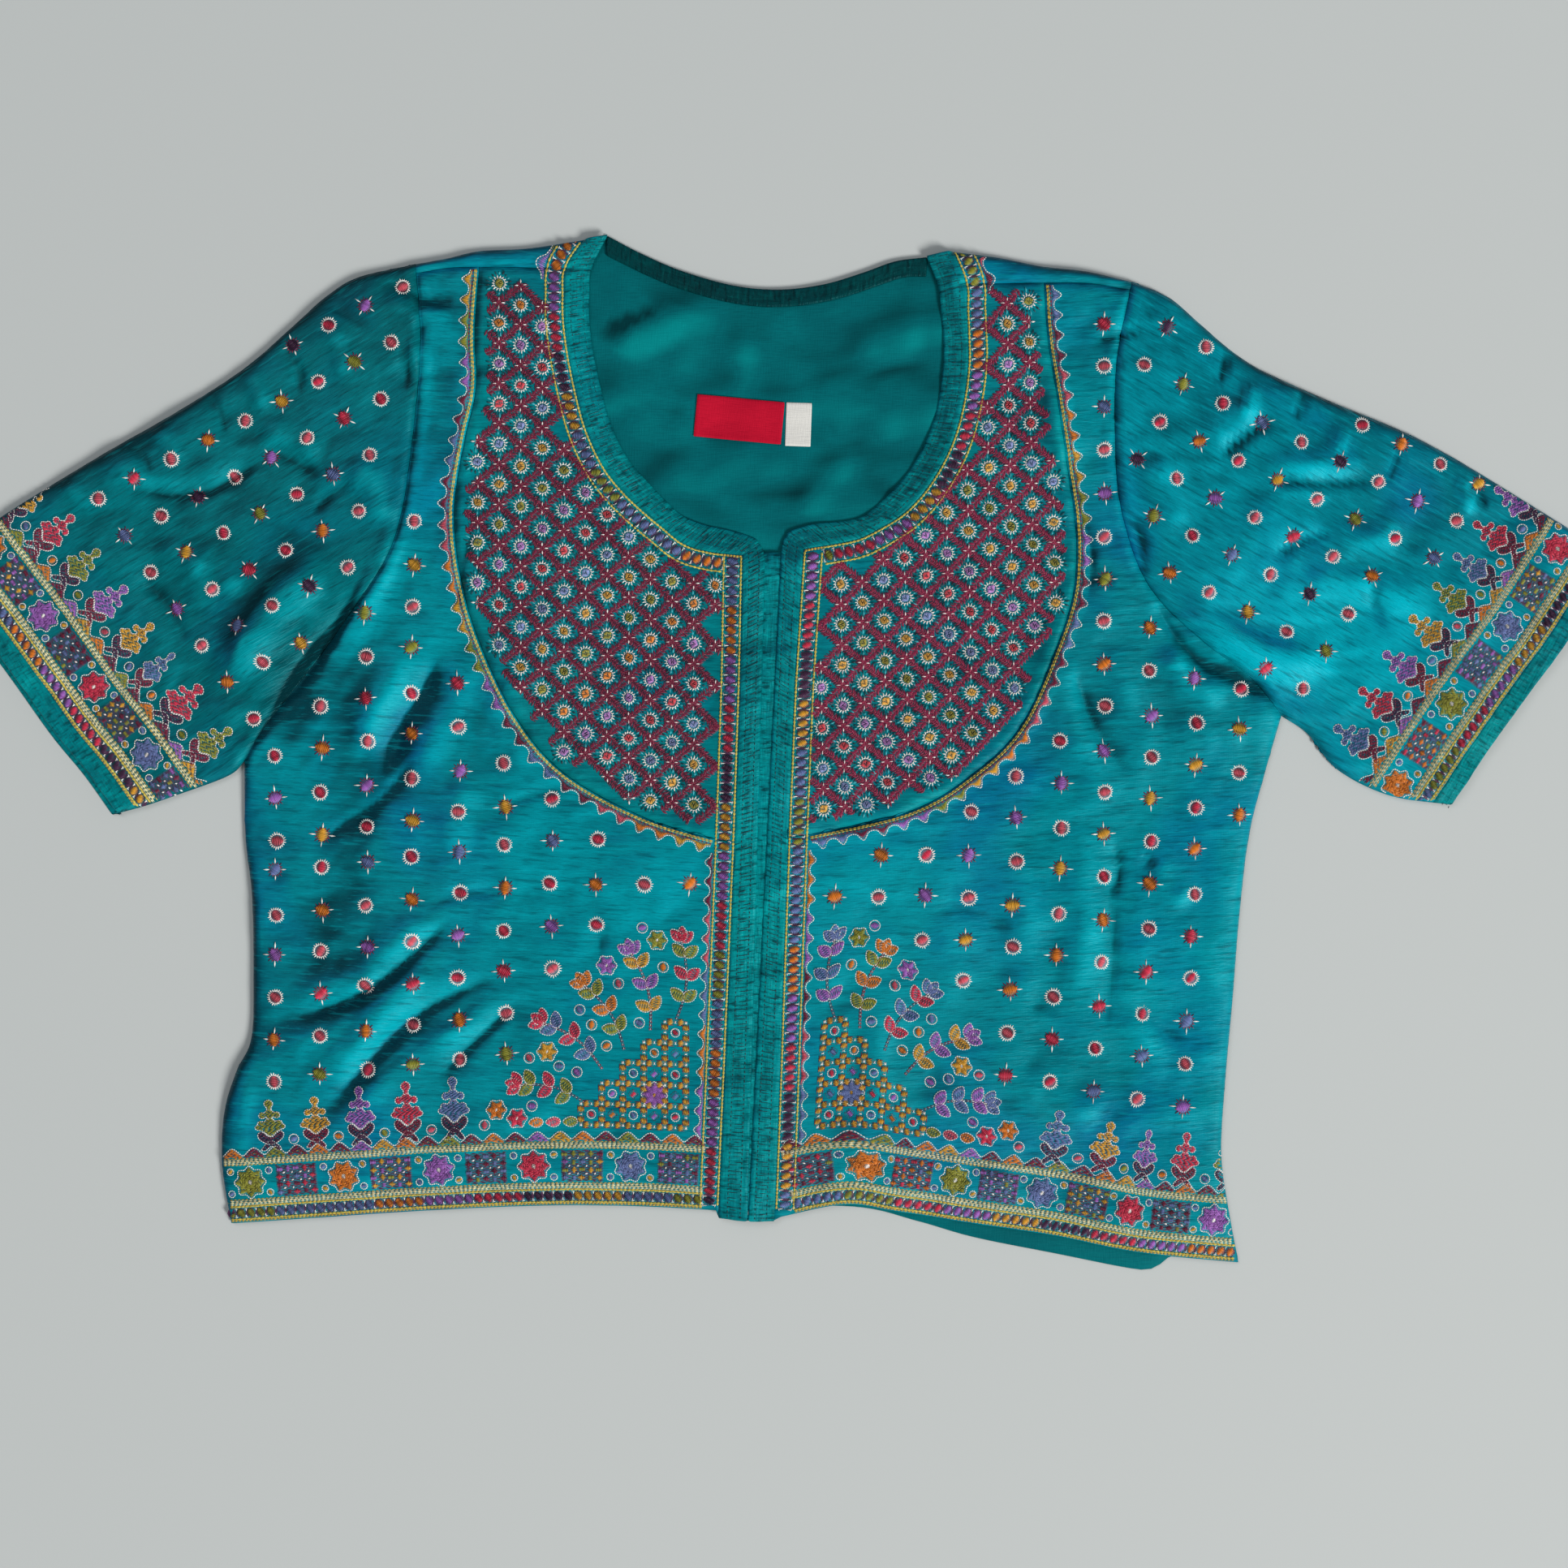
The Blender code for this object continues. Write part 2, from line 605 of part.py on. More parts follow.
for s in "rl":
    length = np.linalg.norm(np.diff(smooth(side_points(SLEEVE_TOP, s), 40), axis=0), axis=1).sum()
    f_band = 1 - CUFF_BAND_W / length
    f_peek = CUFF_PEEK / length
    tube = np.array([sleeve_row(s, f) for f in np.linspace(0, f_band, ROWS_SLEEVE + 1)])
    tube = seam_in(tube, SEAM / 2, "TB")
    # the turned edges start clear of the body at the shoulder and the underarm
    for k, ease_off in ((0, 1.5), (1, 0.4), (-1, 1.8), (-2, 0.5)):
        step = tube[1, k] - tube[0, k]
        tube[0, k] += ease_off * step / np.linalg.norm(step)
    bm = bmesh.new()
    sheet_faces(bm, np.array([tube_ring(r, r, WALL) for r in tube]), ring=True)
    finish("sleeve_" + s, bm, WALL)

    over = seam_in(np.array([sleeve_row(s, f) for f in np.linspace(f_band, 1 - f_peek, 3)]),
                   SEAM / 2, "T")
    below = seam_in(np.array([sleeve_row(s, f) for f in np.linspace(f_band, 1, 3)]),
                    SEAM / 2, "T")
    bm = bmesh.new()
    sheet_faces(bm, np.array([tube_ring(a, b, WALL) for a, b in zip(over, below)]), ring=True)
    finish("cuff_band_" + s, bm, WALL)


# ------------------------------------------------------------------- labels
def flat_piece(name, spec):
    """A woven label: a cut rectangle lying on the inside of the back."""
    cu = bpy.data.curves.new(name, "CURVE")
    cu.dimensions = "2D"
    cu.fill_mode = "BOTH"
    cu.extrude = LABEL_T / 2 * MM
    sp = cu.splines.new("POLY")
    sp.points.add(3)
    hx, hy = spec["length"] / 2, spec["width"] / 2
    for pt, (x, y) in zip(sp.points, ((-hx, -hy), (hx, -hy), (hx, hy), (-hx, hy))):
        pt.co = (x * MM, y * MM, 0, 1)
    sp.use_cyclic_u = True
    ob = bpy.data.objects.new(name, cu)
    parts.objects.link(ob)
    ob.location = (spec["x"] * MM, spec["y"] * MM, (WALL + SEAM + LABEL_T / 2) * MM)
    ob.rotation_euler = (0, 0, math.radians(spec["tilt_deg"]))
    cu.materials.append(material(name + "_cloth", SILK[name], 0.6))
    return ob


flat_piece("label", LABEL)
flat_piece("label_tab", TAB)
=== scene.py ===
"""Looks of the choli blouse: silk, lining, bindings and hand embroidery.

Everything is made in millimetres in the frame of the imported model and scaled
to metres when a mesh is written. One height field holds the folds of the upper
layer of cloth; the panels, the seams and every stitch take their height from
it. The tables of cut edges repeat the ones in part.py.
"""
import math

import bpy
import numpy as np
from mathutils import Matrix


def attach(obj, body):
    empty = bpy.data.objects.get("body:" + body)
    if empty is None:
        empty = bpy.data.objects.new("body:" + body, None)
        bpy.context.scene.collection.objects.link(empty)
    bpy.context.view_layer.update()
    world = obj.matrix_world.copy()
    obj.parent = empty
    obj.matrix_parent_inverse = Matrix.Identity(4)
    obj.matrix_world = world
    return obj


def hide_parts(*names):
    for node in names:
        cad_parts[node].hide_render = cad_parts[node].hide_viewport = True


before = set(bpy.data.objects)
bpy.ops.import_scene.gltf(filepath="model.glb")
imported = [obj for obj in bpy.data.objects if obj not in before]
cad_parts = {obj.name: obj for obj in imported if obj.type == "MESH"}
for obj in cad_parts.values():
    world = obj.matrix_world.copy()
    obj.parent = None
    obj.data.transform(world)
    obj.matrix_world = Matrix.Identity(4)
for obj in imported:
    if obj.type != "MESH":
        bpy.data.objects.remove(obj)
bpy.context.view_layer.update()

MM = 0.001
WALL = 1.2            # thickness of a panel in the CAD model
BACK_TOP = 1.0        # top of the back panel as drawn here
CLOTH = 0.9           # silk and lining as drawn here
REST = 2.5            # top of the upper layer where it lies closest
PUFF = 3.0            # how far the upper layer stands off by its own spring
BINDING_W, FACING_W = 10.0, 8.5
CUFF_BAND_W, CUFF_PEEK = 14.0, 5.0
RNG = np.random.RandomState(20)


def columns(text):
    """A small table: a header line, then one named row to a line."""
    lines = [ln.split() for ln in text.strip().splitlines() if ln.strip()]
    head, rows = lines[0][1:], lines[1:]
    return [dict(zip(head, (float(v) for v in r[1:])), row=r[0]) for r in rows]


def xy(rows, x="x", y="y"):
    return [(r[x], r[y]) for r in rows]


# ------------------------------------------------------- cut edges, half each
# Front neck edge, neck point to centre front. xr, yr: wearer's right half;
# xl, yl: wearer's left half. The blouse was laid by hand, so they differ.
NECK = columns("""
row            xr      yr      xl      yl
neck_point   -83.6   261.4    77.9   250.7
shoulder     -91.8   244.6    83.6   236.0
upper        -93.1   224.5    86.5   208.1
chest_1      -91.0   204.0    85.3   187.6
chest_2      -86.9   183.5    81.2   167.1
curve_1      -80.8   163.0    73.0   148.6
curve_2      -70.5   144.5    60.7   132.2
curve_3      -56.2   130.2    44.3   119.9
low_1        -41.8   119.9    27.9   114.6
low_2        -25.4   113.8    16.0   112.6
centre        -7.0   106.4     6.0   106.4
""")

# Seam between the embroidered yoke and the front, shoulder to placket.
YOKE = columns("""
row            xr      yr      xl      yl
shoulder    -148.4   245.4   136.9   237.2
upper_1     -150.6   211.8   138.6   211.8
upper_2     -149.8   183.5   142.7   183.5
chest       -155.4   157.0   147.6   151.1
widest      -161.1   124.4   153.3   113.0
lower_1     -157.9    90.0   151.7    80.2
lower_2     -148.0    55.6   141.0    47.4
lower_3     -128.7    16.6   124.6    12.5
lower_4     -104.6   -10.9   101.7   -10.2
lower_5      -65.2   -32.6    68.9   -29.7
placket      -24.4   -45.0    12.2   -42.8
""")

# Armhole seam, from the shoulder seam to the underarm.
ARMHOLE = columns("""
row            xr      yr      xl      yl
shoulder    -180.0   242.1   180.4   233.9
upper       -177.5   203.6   173.4   195.8
middle      -182.5   154.4   173.0   150.7
lower_1     -187.4   121.2   176.7   119.5
lower_2     -197.2    93.3   190.0    84.0
valley_1    -226.3    52.3   216.5    56.4
valley_2    -255.0    15.4   241.1    38.0
underarm    -267.3    -4.3   257.5    18.7
""")

# Side of the body, underarm to hem.
SIDE = columns("""
row            xr      yr      xl      yl
underarm    -267.3    -4.3   257.5    18.7
rib_1       -267.0   -42.0   248.9   -11.3
rib_2       -263.6   -72.8   241.1   -42.0
waist_1     -262.8  -113.8   236.2   -83.0
waist_2     -264.0  -144.5   232.9  -124.0
hip_1       -271.4  -160.9   229.2  -165.0
hip_2       -277.6  -181.4   227.1  -201.9
hip_3       -278.8  -208.0   230.4  -228.5
hem         -274.3  -238.0   235.8  -257.7
""")

# Front hem, side seam to placket.
HEM = columns("""
row            xr      yr      xl      yl
side        -274.3  -238.0   235.8  -257.7
hem_1       -226.3  -234.7   183.7  -252.4
hem_2       -185.3  -231.9   142.7  -244.2
hem_3       -144.3  -229.8   101.7  -238.0
hem_4       -103.3  -228.6    60.7  -231.4
hem_5        -62.3  -229.4    36.1  -228.2
placket      -26.2  -231.4     1.8  -235.0
""")

# Shoulder: the back cloth folds over at the outline (xf, yf) and comes down
# the front to the shoulder seam (xs, ys). First the right, then the left.
SHOULDER_R = columns("""
row            xf      yf      xs      ys
armhole     -180.4   247.4  -180.0   242.1
sleeve_1    -164.8   250.3  -164.8   244.9
yoke        -148.4   254.0  -148.4   245.4
neck_1      -123.8   255.4  -123.8   245.2
binding      -95.1   259.7  -102.1   244.6
""")
SHOULDER_L = columns("""
row            xf      yf      xs      ys
armhole      181.6   238.4   180.4   233.9
sleeve_1     159.1   243.7   159.1   237.0
yoke         136.9   246.2   136.9   237.2
neck_1       114.0   250.7   114.0   236.8
binding       91.0   253.6    95.0   236.0
""")

# Back neck edge and back hem, from the wearer's right to the left.
BACK_NECK = columns("""
row             x       y
neck_point_r -83.6   261.4
r_2          -66.4   252.4
r_3          -46.0   243.7
r_4          -20.0   236.4
centre         3.3   234.3
l_4           26.0   237.0
l_3           46.0   243.0
l_2           62.0   248.6
neck_point_l  77.9   250.7
""")
BACK_HEM = columns("""
row             x       y
side_r      -274.3  -236.8
r_1         -185.3  -230.6
r_2         -103.3  -227.2
centre       -22.0  -230.0
l_1           40.2  -229.5
l_2           73.0  -236.8
l_3          101.7  -245.0
l_4          142.7  -253.2
l_5          183.7  -261.2
vent         194.0  -260.0
l_6          206.0  -253.5
side_l       235.8  -256.6
""")

# Sleeves: outline along the top, along the underside, and down the cuff.
SLEEVE_TOP = columns("""
row            xr      yr      xl      yl
shoulder    -180.4   247.4   181.6   238.4
cap_1       -209.9   240.5   200.1   230.6
cap_2       -226.3   230.6   216.5   216.7
cap_3       -242.7   215.9   232.9   202.7
arm_1       -267.0   194.8   249.3   192.5
arm_2       -300.0   173.4   282.1   177.7
arm_3       -341.1   149.8   330.0   157.2
arm_4       -390.3   119.5   380.5   127.3
cuff        -428.0    93.3   428.0    97.4
""")
SLEEVE_UNDER = columns("""
row            xr      yr      xl      yl
underarm    -267.3    -4.3   257.5    18.7
arm_1       -276.0   -11.9   271.2     9.2
arm_2       -301.8   -21.5   286.0    -8.6
arm_3       -318.0   -27.0   312.0   -21.6
cuff        -334.2   -31.4   343.6   -26.4
""")
CUFF = columns("""
row            xr      yr      xl      yl
top         -428.0    93.3   428.0    97.4
c_1         -390.3    44.1   401.8    56.4
c_2         -365.3     9.2   374.7    19.5
c_3         -348.5   -11.3   360.4    -1.0
under       -334.2   -31.4   343.6   -26.4
""")

# Placket: x of the four long edges at the top and the bottom of the bands.
# ro/ri: outer and inner edge on the right, li/lo: the same on the left.
PLACKET = columns("""
row        y_ro    y_ri    y_li    y_lo     ro      ri      li      lo
top        97.4   104.8   104.6    98.2   -18.0    -5.7     5.0    15.6
bottom   -234.7  -236.2  -236.2  -236.4   -26.4   -13.0   -12.2     1.4
""")
UNDERLAP = columns("""
row            y    right    left
top        101.0    -8.2     8.2
bottom    -231.0   -15.6    -8.0
""")
LABEL = {"x": -17.0, "y": 168.6, "length": 44.0, "width": 21.0, "tilt_deg": -5.5}
TAB = {"x": 13.0, "y": 166.0, "length": 12.6, "width": 21.6, "tilt_deg": -2.0}

# The largest folds of the upper layer: a line from (x0, y0) to (x1, y1), the
# half width of its slope, and how far it rises (+) or sinks (-).
FOLDS = columns("""
row                 x0      y0      x1      y1   half    rise
underarm_dip_r    -192     105    -257      14     13    -1.7
underarm_roll_r   -212     122    -276      24     17     1.4
side_roll_r       -174      82    -240      -8     18     1.3
underarm_dip_l     186      96     250      27     13    -1.7
underarm_roll_l    208      98     276      34     17     1.4
side_roll_l        176      70     236       6     18     1.3
cap_roll_r        -258     190    -200     122     20     1.3
arm_dip_r         -322     150    -214      98     12    -1.2
arm_roll_r        -352     112    -290      52     22     1.1
cap_roll_l         226     192     286     128     20     1.3
arm_dip_l          214     142     322     108     12    -1.2
arm_roll_l         296      98     366      72     22     1.1
shoulder_dip_r    -197     237    -156     226      9    -1.2
shoulder_roll_r   -190     216    -158     206     12     1.0
shoulder_dip_l     150     214     198     222      9    -1.0
waist_dip_1       -258    -140    -158     -84      9    -1.3
waist_roll        -252    -160    -140    -102     14     1.4
waist_dip_2       -230    -184    -130    -112      9    -1.3
front_roll_l       158      10     144    -176     22     0.9
front_roll_r      -196     -10    -182    -120     20     0.7
hem_wave_l          36    -186      40    -236     24     1.0
""")


# ------------------------------------------------------------------- curves
def smooth(points, n):
    """n + 1 evenly spaced points on the smooth curve through the points."""
    p = np.array(points, float)
    e = np.vstack([2 * p[0] - p[1], p, 2 * p[-1] - p[-2]])
    dense = []
    for i in range(1, len(e) - 2):
        a, b, c, d = e[i - 1], e[i], e[i + 1], e[i + 2]
        for t in np.linspace(0, 1, 14, endpoint=False):
            dense.append(0.5 * (2 * b + (c - a) * t + (2 * a - 5 * b + 4 * c - d) * t ** 2
                                + (3 * b - a - 3 * c + d) * t ** 3))
    dense.append(p[-1])
    dense = np.array(dense)
    s = np.r_[0, np.cumsum(np.linalg.norm(np.diff(dense, axis=0), axis=1))]
    at = np.linspace(0, s[-1], n + 1)
    return np.stack([np.interp(at, s, dense[:, k]) for k in range(2)], axis=1)


def straight(a, b, n):
    return np.linspace(np.array(a, float), np.array(b, float), n + 1)


def offset_side(line, width, turn):
    """The line moved sideways by width; turn = +1 is to its left."""
    t = np.gradient(line, axis=0)
    t /= np.linalg.norm(t, axis=1)[:, None]
    return line + turn * width * np.stack([-t[:, 1], t[:, 0]], axis=1)


def coons(left, right, top, bottom, fade=3):
    """Patch ruled from the left edge to the right edge, both running down; the
    shape of the top and bottom edges fades out into it."""
    nv, nu = len(left) - 1, len(top) - 1
    u = np.linspace(0, 1, nu + 1)[:, None]
    v = np.linspace(0, 1, nv + 1)[:, None, None]
    ruled = (1 - u)[None] * left[:, None, :] + u[None] * right[:, None, :]
    top_bow = top - ((1 - u) * left[0] + u * right[0])
    low_bow = bottom - ((1 - u) * left[-1] + u * right[-1])
    return ruled + (1 - v) ** fade * top_bow[None] + v ** fade * low_bow[None]


def seam_in(grid, amount, edges="LRTB"):
    """The patch drawn in from its edges, to leave the gap at each seam."""
    g = grid.copy()

    def move(edge, nxt, along):
        inward = nxt - edge
        t = np.gradient(along, axis=0)
        t /= np.maximum(np.linalg.norm(t, axis=1)[:, None], 1e-9)
        normal = np.stack([-t[:, 1], t[:, 0]], axis=1)
        return normal * np.sign(np.sum(normal * inward)) * amount

    if "L" in edges:
        g[:, 0] += move(grid[:, 0], grid[:, 1], grid[:, 0])
    if "R" in edges:
        g[:, -1] += move(grid[:, -1], grid[:, -2], grid[:, -1])
    if "T" in edges:
        g[0] += move(grid[0], grid[1], grid[0])
    if "B" in edges:
        g[-1] += move(grid[-1], grid[-2], grid[-1])
    return g


def photo_mm(px, py):
    """A place in the photograph's 1932 px frame, as millimetres in the plan."""
    return (px - 952.0) * 0.41, (927.5 - py) * 0.41


# Creases of the upper layer: points along the crease in the photograph's frame,
# width of the slope on its left and right in mm, and height (+) or depth (-).
CREASES = [
    # wearer's right sleeve, on the left of the photograph
    ("459,690 425,750 372,822 312,905", 11, 8, -3.4),
    ("405,680 340,758 272,845", 11, 9, 4.2),
    ("362,695 322,752 283,808", 8, 6, 1.6),
    ("505,600 480,680 440,760 370,850", 9, 12, 2.6),
    ("128,575 174,603 248,607 312,575 340,548", 7, 5, -2.0),
    ("118,556 176,585 246,590 306,560", 8, 7, 1.6),
    ("321,548 360,566 395,585", 6, 5, -1.7),
    ("318,530 362,548 402,566", 7, 6, 1.3),
    ("395,373 430,388 459,406", 5, 4, -1.4),
    ("473,341 519,369 560,373", 5, 4, -1.6),
    ("470,360 515,388 560,394", 6, 6, 1.4),
    ("496,415 500,450 505,484", 4, 5, -1.5),
    ("512,410 517,450 520,495", 5, 5, 1.2),
    ("73,594 95,606 120,628", 4, 4, 1.3),
    ("151,543 172,560 190,590", 4, 3, -1.4),
    ("184,525 208,545 222,572", 4, 4, 1.4),
    ("248,484 268,505 280,536", 4, 3, -1.5),
    ("300,455 318,480 325,512", 5, 4, 1.3),
    ("345,430 366,452 372,490", 4, 5, -1.3),
    ("405,400 420,432 424,470", 5, 5, 1.2),
    ("230,680 268,700 300,735", 6, 8, 1.4),
    ("160,700 205,745 232,800", 7, 6, -1.5),
    ("180,660 232,690 262,760", 7, 8, 1.8),
    ("430,560 462,600 470,655", 6, 7, 1.6),
    ("380,640 405,610 440,590", 5, 6, -1.6),
    # wearer's left sleeve, on the right of the photograph
    ("1419,733 1437,767 1471,808 1521,830 1575,872", 5, 7, -3.6),
    ("1448,728 1480,762 1520,792 1580,812 1650,812", 7, 9, 4.6),
    ("1490,772 1540,812 1600,850", 5, 6, 1.4),
    ("1430,790 1462,835 1512,868", 7, 7, 2.4),
    ("1498,564 1530,540 1566,514", 6, 5, -1.8),
    ("1484,548 1518,524 1556,498", 7, 6, 1.5),
    ("1340,419 1372,414 1408,407", 5, 4, -1.6),
    ("1340,400 1374,396 1412,388", 6, 5, 1.2),
    ("1535,582 1580,592 1630,595 1702,591", 6, 5, -1.8),
    ("1540,562 1590,572 1650,572 1705,566", 7, 7, 1.6),
    ("1340,704 1358,712 1376,718", 4, 4, -1.3),
    ("1811,591 1822,608 1829,627", 3, 5, -1.8),
    ("1790,590 1803,612 1808,640", 5, 4, 1.5),
    ("1512,428 1506,452 1494,476", 4, 4, -1.3),
    ("1545,470 1538,492 1524,516", 4, 4, 1.3),
    ("1607,478 1600,502 1588,520", 4, 4, -1.2),
    ("1660,520 1650,545 1632,562", 4, 5, 1.2),
    ("1720,548 1716,572 1700,598", 4, 4, -1.2),
    ("1640,690 1680,668 1735,660", 8, 7, 1.8),
    ("1600,720 1650,715 1700,730 1760,760", 8, 9, 2.0),
    ("1560,690 1600,668 1650,650", 7, 6, -1.6),
    ("1410,560 1440,600 1450,660", 7, 8, 1.7),
    ("1380,620 1402,660 1410,715", 6, 5, -1.7),
    ("1710,780 1690,740 1700,690", 7, 7, -1.4),
    # wearer's right front
    ("470,965 488,905 520,850 545,800", 9, 12, -3.0),
    ("440,950 455,890 480,845 505,790", 9, 8, 2.6),
    ("512,975 530,915 565,850 580,790", 10, 10, 2.2),
    ("380,1045 425,1015 470,985 515,930", 6, 8, -2.0),
    ("335,1262 395,1245 450,1222 505,1180 560,1128", 5, 4, -2.6),
    ("330,1238 395,1222 450,1198 505,1152 560,1104", 8, 7, 2.4),
    ("345,1290 420,1262 480,1225 545,1170", 6, 8, 1.8),
    ("398,1372 440,1325 500,1262 560,1225 625,1200", 6, 5, -3.0),
    ("372,1360 425,1305 490,1240 545,1208", 8, 7, 2.4),
    ("430,1372 480,1320 540,1275 600,1250", 7, 8, 2.0),
    ("540,1330 580,1288 640,1232", 5, 4, -1.6),
    ("522,1318 565,1270 620,1222", 6, 6, 1.3),
    ("520,1120 575,1100 640,1098", 6, 5, -1.4),
    ("600,1010 640,985 700,970", 6, 6, -1.2),
    ("560,1060 560,1000 585,950", 8, 8, 1.2),
    ("300,1060 318,1100 316,1180", 6, 6, 1.2),
    ("290,1300 300,1360 292,1440", 7, 7, 1.6),
    ("715,1090 740,1140 735,1190", 7, 7, -1.0),
    ("610,1390 655,1372 700,1380", 8, 7, 1.2),
    ("600,840 620,900 660,950", 8, 6, 1.2),
    ("566,430 572,520 560,600", 6, 7, 1.3),
    ("582,640 570,700 560,760", 5, 6, -1.2),
    # wearer's left front
    ("1290,760 1310,850 1335,930 1380,1000", 9, 9, 1.8),
    ("1320,820 1352,900 1400,960", 7, 6, -1.7),
    ("1360,790 1392,870 1436,930", 8, 8, 1.6),
    ("1140,1110 1200,1120 1250,1150", 7, 6, -1.4),
    ("1370,1030 1378,1070 1368,1110", 4, 6, -1.5),
    ("1410,1040 1422,1075 1462,1100", 5, 5, -1.3),
    ("1415,1058 1440,1092 1470,1118", 6, 6, 1.4),
    ("1395,1225 1430,1262 1465,1282", 4, 5, -1.5),
    ("1380,1240 1412,1282 1450,1308", 6, 6, 1.4),
    ("1255,1235 1290,1240 1330,1268", 6, 6, -1.2),
    ("1250,1050 1262,1150 1252,1260", 10, 10, 1.2),
    ("1365,1080 1370,1180 1356,1290", 9, 9, -1.3),
    ("1330,1000 1338,1120 1322,1260", 10, 9, 1.4),
    ("1070,1210 1080,1300 1066,1400", 9, 8, 1.0),
    ("1000,1470 1080,1478 1150,1494", 10, 12, 1.8),
    ("1170,1420 1230,1440 1300,1456", 9, 9, -1.2),
    ("1240,1340 1300,1352 1370,1380", 8, 8, 1.3),
    ("1312,440 1300,520 1318,600", 6, 6, 1.2),
    ("1330,620 1345,690 1338,740", 5, 5, -1.2),
    ("980,1000 1040,1020 1100,1004", 7, 6, -1.2),
]

# ------------------------------------------------------------ height fields
RES = 0.5
GX = np.arange(-442.0, 442.0 + RES, RES)
GY = np.arange(-276.0, 276.0 + RES, RES)
SHAPE = (len(GY), len(GX))


def window(line, pad):
    lo, hi = line.min(0) - pad, line.max(0) + pad
    i = np.clip(np.searchsorted(GX, [lo[0], hi[0]]), 0, len(GX))
    j = np.clip(np.searchsorted(GY, [lo[1], hi[1]]), 0, len(GY))
    return slice(j[0], j[1]), slice(i[0], i[1])


def distance_field(lines, pad):
    """Distance to the nearest of the lines, up to pad."""
    field = np.full(SHAPE, float(pad), np.float32)
    for line in lines:
        for a, b in zip(line[:-1], line[1:]):
            wj, wi = window(np.array([a, b]), pad)
            x, y = GX[wi][None, :], GY[wj][:, None]
            d = b - a
            t = np.clip(((x - a[0]) * d[0] + (y - a[1]) * d[1]) / (d @ d), 0, 1)
            r = np.hypot(x - a[0] - t * d[0], y - a[1] - t * d[1])
            field[wj, wi] = np.minimum(field[wj, wi], r)
    return field


def soft_noise(seed, wx, wy, turn=0.0):
    """Smooth noise of unit size; wx and wy are its lengths in mm along and
    across the direction at turn degrees."""
    white = np.random.RandomState(seed).normal(size=SHAPE).astype(np.float32)
    ky = np.fft.fftfreq(SHAPE[0], RES)[:, None] * 2 * np.pi
    kx = np.fft.rfftfreq(SHAPE[1], RES)[None, :] * 2 * np.pi
    c, s = math.cos(math.radians(turn)), math.sin(math.radians(turn))
    k1, k2 = kx * c + ky * s, ky * c - kx * s
    out = np.fft.irfft2(np.fft.rfft2(white) * np.exp(-0.5 * ((k1 * wx / 2.5) ** 2
                                                            + (k2 * wy / 2.5) ** 2)), SHAPE)
    return (out / out.std()).astype(np.float32)


def add_crease(field, line, left, right, height):
    """A soft ridge or trough along a line, dying out at both its ends."""
    pad = 2.6 * max(left, right)
    wj, wi = window(line, pad)
    x, y = GX[wi][None, :], GY[wj][:, None]
    near = np.full((y.size, x.size), 1e9)
    side, at = np.zeros_like(near), np.zeros_like(near)
    s = np.r_[0, np.cumsum(np.linalg.norm(np.diff(line, axis=0), axis=1))]
    n = len(line) - 1
    for k in range(n):
        a, d = line[k], line[k + 1] - line[k]
        raw = ((x - a[0]) * d[0] + (y - a[1]) * d[1]) / (d @ d)
        t = np.clip(raw, 0, 1)
        r = np.hypot(x - a[0] - t * d[0], y - a[1] - t * d[1])
        cross = np.sign(d[0] * (y - a[1]) - d[1] * (x - a[0]))
        better = r < near
        near = np.where(better, r, near)
        side = np.where(better, cross, side)
        at = np.where(better, (s[k] + t * (s[k + 1] - s[k])) / s[-1], at)
    half = np.where(side > 0, left, right)
    ends = ease(at / 0.3) * ease((1 - at) / 0.3)
    swing = 1 + 0.22 * np.sin(9.0 * at + 0.7 * line[0, 0])
    form = np.exp(-(near / half) ** 2) if height > 0 else np.exp(-(near / (0.5 * half)) ** 1.25)
    field[wj, wi] += (height * ends * swing * form).astype(np.float32)


def sample(field, p):
    """The field's value at plan points, between its samples."""
    p = np.asarray(p, float)
    fx = np.clip((p[..., 0] - GX[0]) / RES, 0, len(GX) - 1.001)
    fy = np.clip((p[..., 1] - GY[0]) / RES, 0, len(GY) - 1.001)
    i, j = fx.astype(int), fy.astype(int)
    u, v = fx - i, fy - j
    return ((1 - u) * (1 - v) * field[j, i] + u * (1 - v) * field[j, i + 1]
            + (1 - u) * v * field[j + 1, i] + u * v * field[j + 1, i + 1])


def ease(t):
    t = np.clip(t, 0, 1)
    return t * t * (3 - 2 * t)


def side_points(table, side):
    return xy(table, "x" + side, "y" + side)


SHOULDER = {"r": SHOULDER_R, "l": SHOULDER_L}
outlines = []
for s in "rl":
    outlines += [smooth(xy(SHOULDER[s], "xf", "yf"), 20), smooth(side_points(SLEEVE_TOP, s), 60),
                 smooth(side_points(SLEEVE_UNDER, s), 20), smooth(side_points(SIDE, s), 60)]
EDGE = distance_field(outlines, 30)
seams = []
for s in "rl":
    seams += [smooth(side_points(ARMHOLE, s), 70), smooth(side_points(YOKE, s), 90),
              smooth(xy(SHOULDER[s], "xs", "ys"), 20)]
SEAMS = distance_field(seams, 14)
HEMS = distance_field([smooth(side_points(HEM, s), 60) for s in "rl"], 24)
NECKS = distance_field([smooth(side_points(NECK, s), 60) for s in "rl"], 20)

